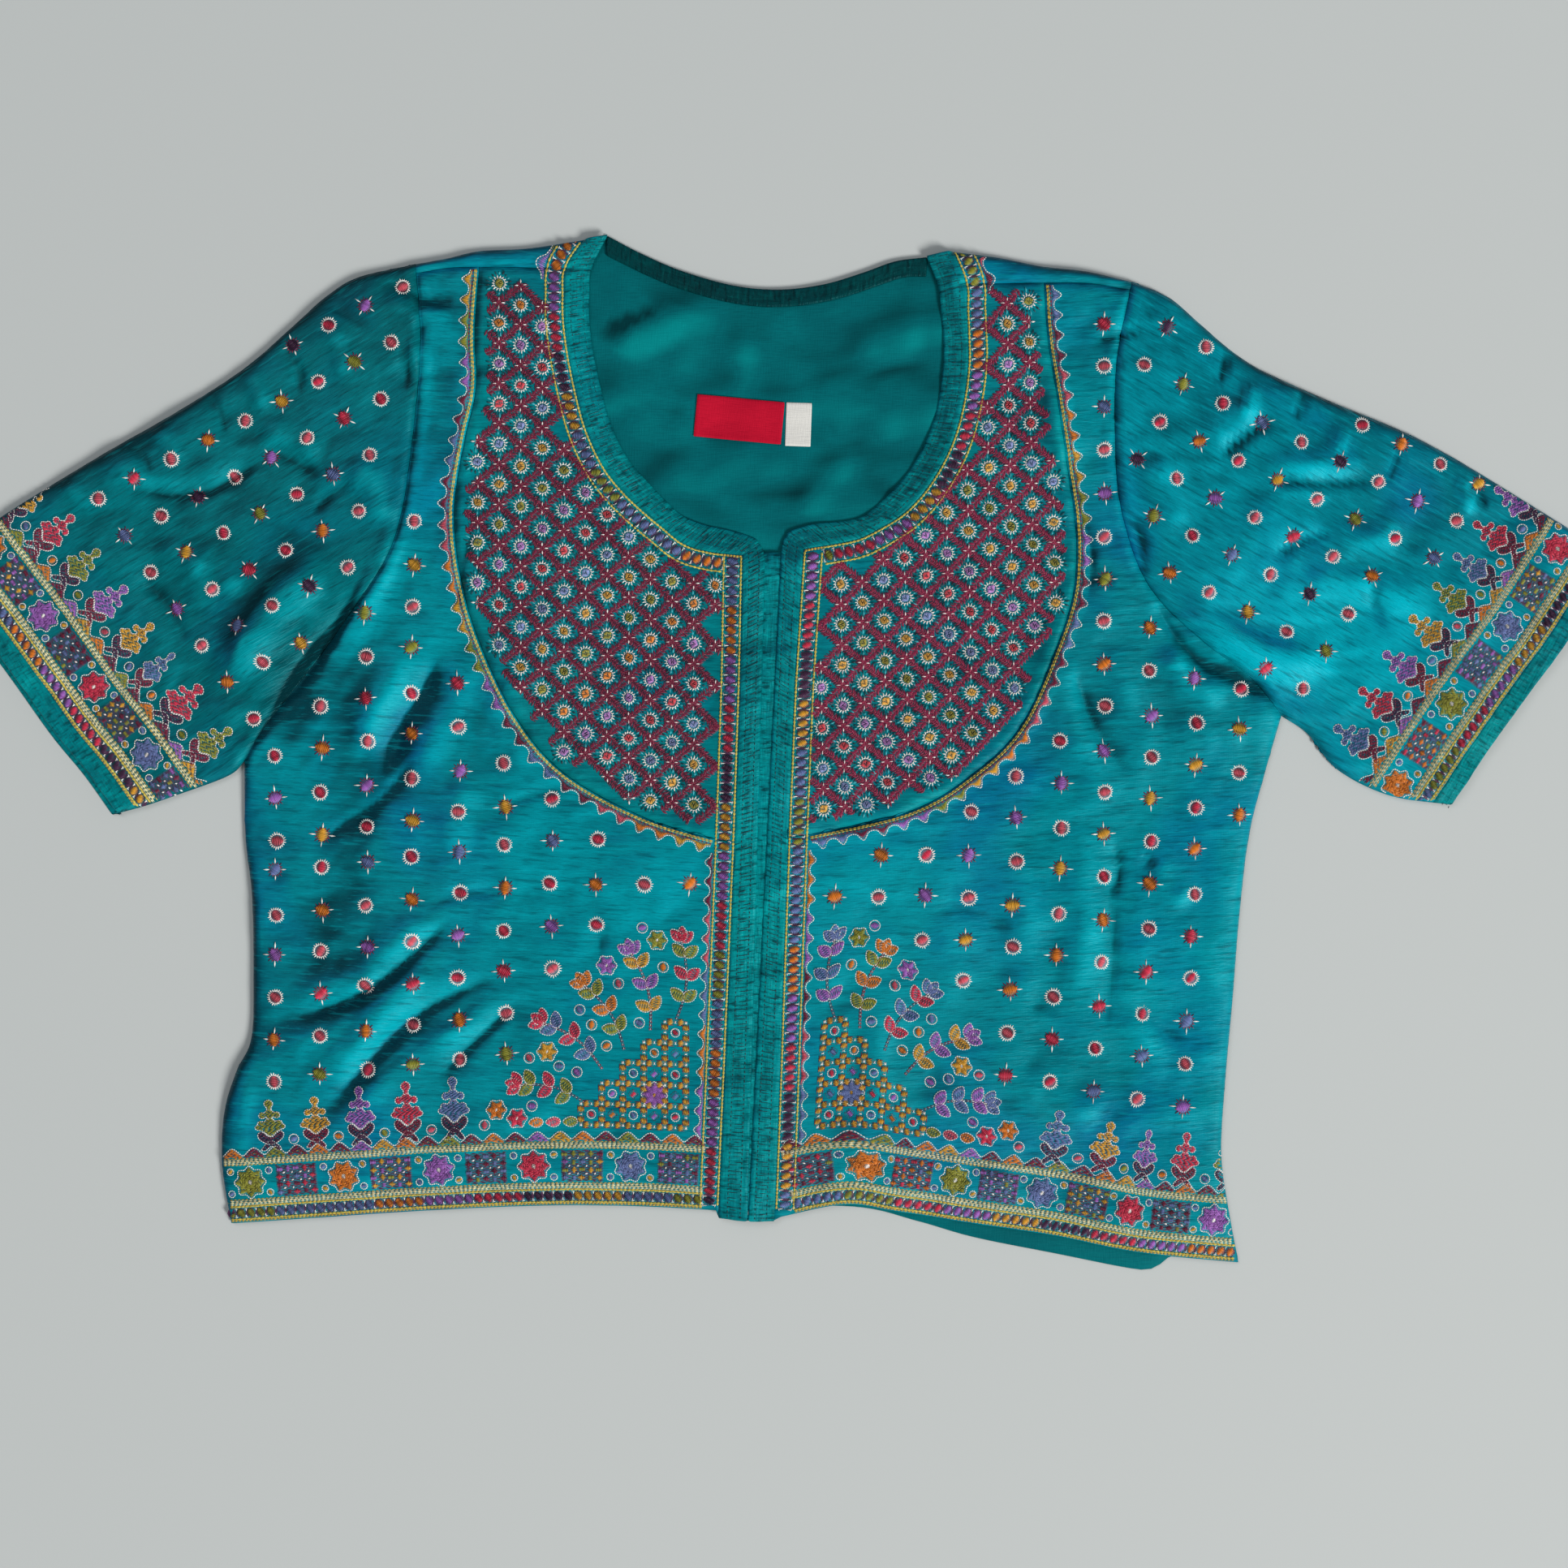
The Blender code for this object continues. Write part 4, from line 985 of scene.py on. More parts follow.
for s in "rl":
    left = np.vstack([edge[s, "armhole"], edge[s, "side"][1:]])
    right = np.vstack([edge[s, "yoke"], edge[s, "p_low"][1:]])
    hem = smooth(side_points(HEM, s), 92)
    hem[-1] = right[-1]
    seam = xy(SHOULDER[s], "xs", "ys")
    g = coons(left, right, smooth(seam[:3], 92), hem)
    g = pull_in(g, 0.15, "LRT")
    g = refine_edges(g, (0.06, 0.18, 0.4))
    top3 = np.dstack([g, ground(g)])
    # the hem is turned up, so its edge is a little thicker and rolls down
    top3[-1, :, 2] -= 0.55
    turn_uv = grain(g, -3.0 if s == "r" else 3.0)
    ob = cloth("front_%s_silk" % s, top3, CLOTH, SILK["body"], turn_uv)
    ride(ob, "silk_body", "front_" + s)

    inner = np.vstack([edge[s, "neck_out"], edge[s, "p_up"][1:]])
    g = coons(edge[s, "yoke"], inner, smooth(seam[2:], 52), straight(edge[s, "yoke"][-1], inner[-1], 52))
    g = pull_in(g, 0.15, "LRT")
    ob = cloth("yoke_%s_silk" % s, np.dstack([g, ground(g)]), CLOTH, SILK["yoke"], grain(g))
    ride(ob, "silk_yoke", "yoke_" + s)


def band(outer, inner, crown, across=9, base=0.25, pucker=0.0, stitches=2.6):
    """A folded strip between two edges, rounded over and drawn by its stitching."""
    u = np.linspace(0, 1, across)
    g = outer[:, None, :] * (1 - u)[None, :, None] + inner[:, None, :] * u[None, :, None]
    z = ground(g) + base + crown * np.sqrt(np.clip(1 - (2 * u - 1) ** 2, 0, 1))[None, :]
    s_ = np.r_[0, np.cumsum(np.linalg.norm(np.diff(outer, axis=0), axis=1))]
    wave = np.sin(s_ * 2 * np.pi / stitches + 1.3 * np.sin(s_ / 17.0))[:, None]
    z = z + pucker * wave * np.sin(np.pi * u)[None, :]
    return np.dstack([g, z]), np.stack([np.broadcast_to(s_[:, None], z.shape),
                                        np.broadcast_to((u * 10)[None, :], z.shape)], -1)


strips = []
for s in "rl":
    pick = list(range(0, 86, 6)) + [86]
    wide = offset_side(edge[s, "neck_out"], 2.2, -1 if s == "r" else 1)
    wide[0] = edge[s, "neck_out"][0] + (-2.2 if s == "r" else 2.2, 0)
    part = np.clip((np.abs(edge[s, "neck_out"][:, :1]) - 46.0) / 22.0, 0, 1)
    wide = (edge[s, "neck_out"] * (1 - part) + wide * part)[pick]
    out_e = smooth(np.vstack([edge[s, "neck_tip"][0], wide]), 260)
    in_e = smooth(np.vstack([edge[s, "neck_tip"][1], edge[s, "neck_in"][pick]]), 260)
    top3, uv = band(out_e, in_e, 0.8, across=15, pucker=0.10, stitches=3.6)
    u = np.linspace(0, 1, 15)[None, :]
    for at in (0.30, 0.62):
        top3[..., 2] -= 0.12 * np.exp(-((u - at) / 0.05) ** 2)
    ob = cloth("neck_binding_%s_silk" % s, top3, 1.1, SILK["binding"], uv)
    ride(ob, "silk_binding", "neck_binding_" + s)
    strips.append((s, "neck", out_e, in_e))
    g_out, g_in = edge[s, "p_out"], edge[s, "p_in"]
    strips.append((s, "placket", g_out, g_in))
    top3, uv = band(g_out, g_in, 0.55, across=15, base=0.35, pucker=0.0)
    u = np.linspace(0, 1, 15)[None, :]
    down = np.linspace(0, 1, 281)[:, None] * 333.0
    # rows of machine stitching press grooves along the band; fine puckers cross it
    for at in (0.34, 0.74):
        top3[..., 2] -= 0.12 * np.exp(-((u - at) / 0.05) ** 2)
    wob = 0.08 * np.sin(down * 2 * np.pi / 4.3 + 2.1 * np.sin(down / 23.0 + u * 3)) \
        + 0.05 * np.sin(down * 2 * np.pi / 2.9 + 5 * u)
    top3[..., 2] += wob * np.sin(np.pi * u) ** 0.5
    ob = cloth("placket_%s_silk" % s, top3, 1.2, SILK["binding"], uv)
    ride(ob, "silk_binding", "placket_" + s)

# underlap behind the opening of the placket
ul_top, ul_bot = UNDERLAP
rows = np.linspace(0, 1, 130)[:, None]
u = np.linspace(0, 1, 9)[None, :]
xa = ul_top["right"] + rows * (ul_bot["right"] - ul_top["right"])
xb = ul_top["left"] + rows * (ul_bot["left"] - ul_top["left"])
px = xa + u * (xb - xa)
py = ul_top["y"] + rows * (ul_bot["y"] - ul_top["y"]) + 0 * u
over = ground(np.stack([px, py], -1))
pz = over - 0.15 + 0.14 * np.sin(py / 1.9) * np.sin(np.pi * u)
ob = cloth("placket_underlap_silk", np.dstack([px, py, pz]), 0.7, SILK["binding"],
           np.stack([py, px], -1))
ride(ob, "silk_binding", "placket_underlap")


# ------------------------------------------------------------------- sleeves
def along(line, f):
    s_ = np.r_[0, np.cumsum(np.linalg.norm(np.diff(line, axis=0), axis=1))]
    s_ /= s_[-1]
    f = np.atleast_1d(f)
    return np.stack([np.interp(f, s_, line[:, k]) for k in range(2)], -1)


SLEEVE_LINES = {}
for s in "rl":
    SLEEVE_LINES[s] = (smooth(side_points(ARMHOLE, s), 220), smooth(side_points(CUFF, s), 160),
                       smooth(side_points(SLEEVE_TOP, s), 160), smooth(side_points(SLEEVE_UNDER, s), 90))


def sleeve_points(side, f, w):
    """Plan point of a sleeve at f from armhole to cuff and w across it."""
    arm_l, cuff_l, top_l, low_l = SLEEVE_LINES[side]
    w = np.asarray(w, float)
    f = np.broadcast_to(np.asarray(f, float), w.shape)
    k = 1 / 11
    arm = np.where((w < k)[:, None],
                   edge[side, "tip"] + (np.clip(w / k, 0, 1))[:, None] * (arm_l[0] - edge[side, "tip"]),
                   along(arm_l, np.clip((w - k) / (1 - k), 0, 1)))
    cuff = along(cuff_l, w)
    ff, f = f, f[:, None]
    top_bow = along(top_l, ff) - ((1 - f) * edge[side, "tip"] + f * cuff_l[0])
    low_bow = along(low_l, ff) - ((1 - f) * arm_l[-1] + f * cuff_l[-1])
    w = w[:, None]
    return (1 - f) * arm + f * cuff + (1 - w) ** 2 * top_bow + w ** 2 * low_bow


W_FINE = np.r_[0, .0007, .0022, .005, .0095, .016, np.linspace(.026, .974, 88),
               .984, .9905, .995, .9978, .9993, 1]
W_UNDER = np.r_[0, .0007, .0022, .005, .0095, .02, np.linspace(.05, .95, 26),
                .98, .9905, .995, .9978, .9993, 1]


def sleeve_ring(side, f_over, f_under, raise_=0.0):
    """Closed ring of outer points: over the upper layer, back under the lower."""
    over = sleeve_points(side, f_over, W_FINE)
    under = sleeve_points(side, f_under, W_UNDER)[1:-1][::-1]
    zo = turned(over, REST + sample(LIFTED, over) + raise_)
    k = np.clip(sample(EDGE, under) / 1.3, 0, 1)
    zu = MID_Z - (MID_Z - 0.06) * np.sqrt(np.clip(1 - (1 - k) ** 2, 0, 1))
    return np.vstack([np.c_[over, zo], np.c_[under, zu]])


PLAIN_BAND = {"r": (12.6, 3.6), "l": (9.8, 0.9)}     # whole plain band, what peeks out below


def near_cuff(side, w, mm):
    """How far along a sleeve, at w across it, lies mm short of the cuff."""
    w = np.asarray(w, float)
    per = np.linalg.norm(sleeve_points(side, 1.0, w) - sleeve_points(side, 0.9, w), axis=1) / 0.1
    return 1 - mm / per


for s, weft in (("r", 31.0), ("l", -29.0)):
    whole, peek = PLAIN_BAND[s]
    band_o, band_u = near_cuff(s, W_FINE, whole), near_cuff(s, W_UNDER, whole)
    start = 0.0012
    top3 = np.array([sleeve_ring(s, start + k * (band_o - 0.0006 - start),
                                 start + k * (band_u - 0.0006 - start)) for k in np.linspace(0, 1, 88)])
    ob = cloth("sleeve_%s_silk" % s, top3, CLOTH, SILK["sleeve_r" if s == "r" else "sleeve"],
               grain(top3, weft), ring=True,
               face=slice(10, 90))
    ride(ob, "silk_body", "sleeve_" + s)
    end_o = near_cuff(s, W_FINE, peek)
    top3 = np.array([sleeve_ring(s, band_o + 0.0006 + k * (end_o - band_o - 0.0006),
                                 band_u + 0.0006 + k * (1 - band_u - 0.0006), 0.25)
                     for k in np.linspace(0, 1, 10)])
    ob = cloth("cuff_band_%s_silk" % s, top3, 1.0, SILK["cuff"], grain(top3, weft + 90), ring=True,
               face=slice(10, 90))
    ride(ob, "silk_binding", "cuff_band_" + s)

# ---------------------------------------------------------------- back panel
back_hem = smooth(xy(BACK_HEM), 100)
neck_line = smooth(xy(BACK_NECK), 60)
fold_r = smooth(xy(SHOULDER_R, "xf", "yf"), 20)
fold_l = smooth(xy(SHOULDER_L, "xf", "yf"), 20)[::-1]
top_edge = np.vstack([fold_r[:-1], neck_line, fold_l[1:]])
back_hem = smooth(xy(BACK_HEM), len(top_edge) - 1)
back_hem[0], back_hem[-1] = xy(BACK_HEM)[0], xy(BACK_HEM)[-1]
left = np.vstack([[edge["r", "tip"]], edge["r", "armhole"][::2], edge["r", "side"][2::2]])
right = np.vstack([[edge["l", "tip"]], edge["l", "armhole"][::2], edge["l", "side"][2::2]])
n_ = min(len(left), len(right))
left, right = left[:n_], right[:n_]
left[-1], right[-1] = back_hem[0], back_hem[-1]
g = coons(left, right, top_edge, back_hem)
g = seam_in(g, 1.2, "LR")
inset = np.r_[np.full(20, 2.4), np.zeros(len(neck_line)), np.full(20, 2.4)]
g[0, :, 1] -= inset
z = back_ground(g)
flat = cloth("back_flat", np.dstack([g, z]), 0.9, SILK["inside"], grain(g), light=BACK_PAINTED_SHADE)
flat.data.materials.append(SILK["body"])
parts_ = [flat]
for s in "rl":
    fold = smooth(xy(SHOULDER[s], "xf", "yf"), 40)
    seam = smooth(xy(SHOULDER[s], "xs", "ys"), 40) + (0, 0.15)
    jb = -1
    clear = 0.5 if s == "r" else -0.5
    fold[0, 0] += 0.2 * (1 if s == "r" else -1)
    rows_ = []
    down = np.array([0.0, -1.0])
    for d in (3.0, 2.0, 1.2, 0.5, 0.12, 0.0):
        k = math.sqrt(max(0.0, 1 - (1 - min(d / 1.3, 1)) ** 2))
        rows_.append(np.c_[fold + d * down, np.full(len(fold), MID_Z - (MID_Z - 0.1) * k)])
    depth = (fold[:, 1] - seam[:, 1])[:, None]
    for k in (0.04, 0.12, 0.25, 0.4, 0.55, 0.7, 0.85, 1.0):
        p = fold * (1 - k) + seam * k
        rows_.append(np.c_[p, ground(p)])
    g3 = np.array(rows_)
    g3[:, -1, 0] -= clear
    wrap = cloth("back_wrap_" + s, g3, CLOTH, SILK["body"], grain(g3))
    parts_.append(wrap)
ob = join("back_panel_silk", parts_)
ride(ob, "silk_body", "back_panel")

# facing round the back neck, label and tab, all lying on the back's inside
up = smooth(xy(BACK_NECK), 130)
low = offset_side(up, FACING_W, -1)
low[0], low[-1] = up[0] + (-0.6, -9.6), up[-1] + (-0.4, -9.4)
low = smooth(low[::10], 130)
u = np.linspace(0, 1, 9)
g = up[:, None] * (1 - u)[None, :, None] + low[:, None] * u[None, :, None]
z = back_ground(g) + 0.85 + 0.30 * np.sqrt(np.clip(1 - (2 * u - 1) ** 2, 0, 1))[None, :]
s_ = np.r_[0, np.cumsum(np.linalg.norm(np.diff(up, axis=0), axis=1))][:, None]
z = z + 0.1 * np.sin(s_ * 2 * np.pi / 3.1) * np.sin(np.pi * u)[None, :]
ob = cloth("back_neck_facing_silk", np.dstack([g, z]), 0.7, SILK["facing"],
           np.stack([s_ + 0 * u, 8 * u + 0 * s_], -1), light=BACK_PAINTED_SHADE)
ride(ob, "lining", "back_neck_facing")


def tag(name, spec, mat, slot_name, lift_):
    a = math.radians(spec["tilt_deg"])
    u, v = np.meshgrid(np.linspace(-0.5, 0.5, 31) * spec["length"],
                       np.linspace(0.5, -0.5, 17) * spec["width"])
    g = np.stack([spec["x"] + u * math.cos(a) - v * math.sin(a),
                  spec["y"] + u * math.sin(a) + v * math.cos(a)], -1)
    z = back_ground(g) + 0.45 + lift_ + 0.10 * np.sin(u / 5.0 + 1) * np.cos(v / 4.0)
    ob = cloth(name + "_woven", np.dstack([g, z]), 0.4, mat, np.stack([u, v], -1), light=BACK_PAINTED_SHADE)
    return ride(ob, slot_name, name)


tag("label_tab", TAB, SILK["white"], "label_white", 0.0)
tag("label", LABEL, SILK["red"], "label_red", 0.35)


# ---------------------------------------------------------------- embroidery
THREAD = {
    "white": (246, 238, 232), "yellow": (216, 180, 66), "cream": (244, 230, 184),
    "mustard": (212, 158, 48), "orange": (216, 124, 34), "red": (206, 50, 80),
    "rose": (204, 84, 104), "purple": (160, 100, 184), "slate": (104, 120, 172),
    "olive": (146, 146, 48), "maroon": (118, 24, 58), "plum": (72, 36, 70),
    "dark": (26, 40, 62), "aqua": (56, 168, 180), "gold": (190, 142, 60),
    "teal": (0, 76, 88), "crimson": (136, 26, 66), "night": (0, 50, 60),
    "lemon": (212, 192, 82), "pink": (208, 88, 104),
    "honey": (230, 178, 84), "lilac": (196, 142, 206), "sky": (146, 158, 204),
    "coral": (220, 84, 94), "moss": (168, 158, 68), "amber": (226, 144, 62),
}
SHADES = (0.78, 1.0, 1.16)
HUES = list(THREAD)


def thread(name, colour):
    """Stranded silk thread: a soft gloss and a fine twist."""
    n = Nodes(name)
    obj = n.add("ShaderNodeTexCoord").outputs["Object"]
    strand = n.noise(obj, 2600.0, 1.0, 0.5)
    bump = n.add("ShaderNodeBump", {"Strength": 0.5, "Distance": 0.0002, "Height": strand})
    n.put(Normal=bump.outputs[0])
    n.put(Base_Color=(*colour, 1.0), Roughness=0.46, Specular_IOR_Level=0.4,
          Sheen_Weight=0.12, Sheen_Roughness=0.4)
    return n.mat


THREAD_MATS = []
for hue in HUES:
    for k, f in enumerate(SHADES):
        c = np.clip(np.array(srgb(*THREAD[hue])) * f, 0, 1)
        THREAD_MATS.append(thread("thread_%s_%d" % (hue, k + 1), tuple(c)))


class Needle:
    """Collects stitches; each is a small raised lens lying on the cloth."""

    def __init__(self):
        self.a, self.b, self.w, self.h, self.c = [], [], [], [], []

    def sew(self, F, a, b, hue, w=0.6, h=0.38):
        """Stitches from a to b, in the places that F maps to the plan."""
        a, b = np.atleast_2d(np.asarray(a, float)), np.atleast_2d(np.asarray(b, float))
        if not len(a):
            return
        n = len(a)
        self.a.append(F(a))
        self.b.append(F(b))
        self.w.append(np.full(n, w) * RNG.uniform(0.88, 1.12, n))
        self.h.append(np.full(n, h) * RNG.uniform(0.85, 1.15, n))
        shade = RNG.choice(3, n, p=(0.27, 0.5, 0.23))
        self.c.append(HUES.index(hue) * 3 + shade)

    def run(self, F, pts, hue, step=2.0, gap=0.18, w=0.5, h=0.34, closed=False):
        """Running stitch along a line."""
        pts = np.asarray(pts, float)
        if closed:
            pts = np.vstack([pts, pts[:1]])
        s_ = np.r_[0, np.cumsum(np.linalg.norm(np.diff(pts, axis=0), axis=1))]
        n = max(1, int(round(s_[-1] / step)))
        t = np.linspace(0, s_[-1], n + 1)
        a = np.stack([np.interp(t[:-1] + gap / 2, s_, pts[:, k]) for k in (0, 1)], -1)
        b = np.stack([np.interp(t[1:] - gap / 2, s_, pts[:, k]) for k in (0, 1)], -1)
        self.sew(F, a, b, hue, w, h)

    def chain(self, F, pts, hue, pitch=1.75, w=0.46, h=0.42, spread=0.3, closed=False):
        """Chain stitch: two bowed threads to each link."""
        pts = np.asarray(pts, float)
        if closed:
            pts = np.vstack([pts, pts[:1]])
        d = np.gradient(pts, axis=0)
        d /= np.maximum(np.linalg.norm(d, axis=1), 1e-9)[:, None]
        nrm = np.stack([-d[:, 1], d[:, 0]], -1)
        for sgn in (-1, 1):
            self.run(F, pts + sgn * spread * nrm, hue, pitch, -0.12, w, h)

    def fill(self, F, poly, hue, turn=0.0, gap=0.62, longest=3.6, w=0.78, h=0.5):
        """Satin stitches side by side across a shape; long ones are split."""
        poly = np.asarray(poly, float)
        c, s_ = math.cos(-turn), math.sin(-turn)
        R = np.array([[c, -s_], [s_, c]])
        q = poly @ R.T
        x0, y0 = q[:, 0], q[:, 1]
        x1, y1 = np.roll(x0, -1), np.roll(y0, -1)
        a, b = [], []
        ys = np.arange(y0.min() + gap * 0.4, y0.max(), gap)
        for k, y in enumerate(ys):
            hit = (y0 > y) != (y1 > y)
            if not hit.any():
                continue
            xs = np.sort(x0[hit] + (y - y0[hit]) * (x1[hit] - x0[hit]) / (y1[hit] - y0[hit]))
            for xa, xb in zip(xs[::2], xs[1::2]):
                span = xb - xa
                if span < 0.3:
                    continue
                n = max(1, int(math.ceil(span / longest)))
                cuts = np.linspace(xa, xb, n + 1)
                if n > 1:
                    cuts[1:-1] += ((k % 2) - 0.5) * 0.5 * span / n
                a.append(np.c_[cuts[:-1], np.full(n, y)])
                b.append(np.c_[cuts[1:], np.full(n, y)])
        if a:
            a, b = np.vstack(a) @ R, np.vstack(b) @ R
            self.sew(F, a, b, hue, w, h)

    def rays(self, F, centre, r0, r1, n, hue, turn=0.0, w=0.5, h=0.34):
        t = turn + np.arange(n) * 2 * np.pi / n
        d = np.stack([np.cos(t), np.sin(t)], -1)
        c = np.asarray(centre, float)
        r0 = np.broadcast_to(np.asarray(r0, float), (n,))[:, None]
        r1 = np.broadcast_to(np.asarray(r1, float), (n,))[:, None]
        self.sew(F, c + d * r0, c + d * r1, hue, w, h)

    def piece(self, name, zone=None, height=None):
        """One mesh of all the stitches collected so far that lie in the zone."""
        height = height or ground
        a, b = np.vstack(self.a), np.vstack(self.b)
        w, h = np.concatenate(self.w), np.concatenate(self.h)
        c = np.concatenate(self.c)
        if zone is not None:
            keep = inside(zone, a) & inside(zone, b)
            a, b, w, h, c = a[keep], b[keep], w[keep], h[keep], c[keep]
        d = b - a
        ln = np.maximum(np.linalg.norm(d, axis=1), 1e-6)
        w = np.minimum(w, 0.75 * ln + 0.15)
        nrm = np.stack([-d[:, 1], d[:, 0]], -1) / ln[:, None] * (w / 2)[:, None]
        mid = (a + b) / 2
        long_ = ln > 2.3
        verts, faces, mats, base = [], [], [], 0
        for pick, big in ((~long_, False), (long_, True)):
            if not pick.any():
                continue
            A, B, M, N, H, C = a[pick], b[pick], mid[pick], nrm[pick], h[pick], c[pick]
            n = len(A)
            if big:
                plan = np.stack([A, B, M + N, M - N, A + 0.24 * (B - A), A + 0.76 * (B - A)], 1)
                up = np.stack([0 * H + 0.02, 0 * H + 0.02, 0 * H - 0.04, 0 * H - 0.04, H, H], 1)
                tri = np.array([[0, 3, 4], [4, 3, 5], [3, 1, 5], [1, 2, 5], [2, 4, 5], [2, 0, 4]])
                tri = np.array([[0, 3, 4], [3, 5, 4], [3, 1, 5], [1, 2, 5], [2, 4, 5], [2, 0, 4]])
            else:
                plan = np.stack([A, B, M + N, M - N, M], 1)
                up = np.stack([0 * H + 0.02, 0 * H + 0.02, 0 * H - 0.04, 0 * H - 0.04, H], 1)
                tri = np.array([[0, 3, 4], [3, 1, 4], [1, 2, 4], [2, 0, 4]])
            z = height(plan) + up
            verts.append(np.dstack([plan, z]).reshape(-1, 3))
            k = plan.shape[1]
            faces.append((tri[None] + (base + k * np.arange(n))[:, None, None]).reshape(-1, 3))
            mats.append(np.repeat(C, len(tri)))
            base += k * n
        mats = np.concatenate(mats)
        used = np.unique(mats)
        ob = write_mesh(name, np.vstack(verts), faces, [THREAD_MATS[u] for u in used],
                        np.searchsorted(used, mats))
        ride(ob, "embroidery_thread")
        print("THREADS", name, len(a), "stitches", len(mats), "triangles")
        return ob


def plain(p):
    return np.asarray(p, float)


def placed(x, y, turn=0.0, size=1.0, flip=1.0):
    c, s_ = math.cos(turn) * size, math.sin(turn) * size

    def F(p):
        p = np.asarray(p, float)
        u = p[..., 0] * flip
        return np.stack([x + c * u - s_ * p[..., 1], y + s_ * u + c * p[..., 1]], -1)
    return F


class Way:
    """A line in the plan; (t, d) is t along it and d to its inner side."""

    def __init__(self, line, inner):
        line = np.asarray(line, float)
        s_ = np.r_[0, np.cumsum(np.linalg.norm(np.diff(line, axis=0), axis=1))]
        self.length = s_[-1]
        n = int(self.length) + 1
        self.t = np.linspace(0, self.length, n)
        self.p = np.stack([np.interp(self.t, s_, line[:, k]) for k in (0, 1)], -1)
        d = np.gradient(self.p, self.t, axis=0)
        for k in (0, 1):
            d[:, k] = np.convolve(np.pad(d[:, k], 4, "edge"), np.ones(9) / 9, "valid")
        d /= np.linalg.norm(d, axis=1)[:, None]
        self.d = d
        self.n = np.stack([-d[:, 1], d[:, 0]], -1) * inner

    def __call__(self, q):
        q = np.asarray(q, float)
        t, off = q[..., 0], q[..., 1]
        over = np.where(t < 0, t, np.where(t > self.length, t - self.length, 0.0))
        out = []
        for k in (0, 1):
            base = np.interp(t, self.t, self.p[:, k])
            nn = np.interp(t, self.t, self.n[:, k])
            dd = np.interp(t, self.t, self.d[:, k])
            out.append(base + off * nn + over * dd)
        return np.stack(out, -1)

    def sub(self, t, d, flip=1.0, size=1.0):
        """Local frame standing on the way at t, d; its y is to the inner side."""
        def F(p):
            p = np.asarray(p, float)
            return self(np.stack([t + flip * size * p[..., 0], d + size * p[..., 1]], -1))
        return F


# ---------------------------------------------------------- motifs, in their mm
def circle(r, n=20, x=0.0, y=0.0):
    t = np.arange(n) * 2 * np.pi / n
    return np.stack([x + r * np.cos(t), y + r * np.sin(t)], -1)


def ringed_dot(nd, F, centre="rose", size=1.0, teeth=21):
    """White blanket-stitched ring round a satin dot."""
    r = size
    t = np.arange(teeth) * 2 * np.pi / teeth + RNG.uniform(0, 1)
    wob = RNG.uniform(0.92, 1.10, teeth)
    d = np.stack([np.cos(t), np.sin(t)], -1)
    nd.sew(F, d * 2.8 * r, d * (4.45 * r * wob)[:, None], "white", 0.72 * r, 0.6)
    nd.run(F, circle(3.25 * r, 22), "white", 1.0, -0.2, 0.8 * r, 0.66, closed=True)
    nd.fill(F, circle(2.95 * r, 18), "pink" if centre == "rose" else centre,
            RNG.uniform(0, 3.1), 0.62, 6.0, 0.9, 1.0)


def star(nd, F, centre, size=1.0, turn=0.0):
    """Satin centre with four white and four dark rays."""
    r = size
    reach = RNG.uniform(0.9, 1.1, 4)
    nd.rays(F, (0, 0), 2.6 * r, 6.4 * r * reach, 4, "white", turn + np.pi / 2, 0.8, 0.6)
    nd.rays(F, (0, 0), 2.4 * r, 5.2 * r, 4, "plum", turn + np.pi / 4, 0.8, 0.5)
    nd.rays(F, (0, 0), 2.4 * r, 4.4 * r, 8, "maroon", turn + np.pi / 8, 0.7, 0.45)
    nd.run(F, circle(3.2 * r, 20), "maroon", 1.3, 0.05, 0.6, 0.42, closed=True)
    nd.fill(F, circle(3.35 * r, 20), centre, RNG.uniform(0, 3.1), 0.62, 7.0, 0.98, 1.1)


def small_ring(nd, F, hue, r=2.1, rim="white"):
    nd.fill(F, circle(r * 0.72, 14), hue, RNG.uniform(0, 3), 0.5, 4.0, 0.74, 0.7)
    nd.run(F, circle(r, 16), rim, 0.9, 0.0, 0.72, 0.5, closed=True)


def petal(length, half, n=9, base=0.12):
    t = np.linspace(0, 1, n)
    r = half * np.sin(np.pi * (base + (1 - base) * t) ** 0.85) ** 0.75
    x = t * length
    return np.vstack([np.c_[x, r], np.c_[x[::-1], -r[::-1]]])


def turned_poly(poly, a, x=0.0, y=0.0):
    c, s_ = math.cos(a), math.sin(a)
    p = np.asarray(poly, float)
    return np.stack([x + p[:, 0] * c - p[:, 1] * s_, y + p[:, 0] * s_ + p[:, 1] * c], -1)


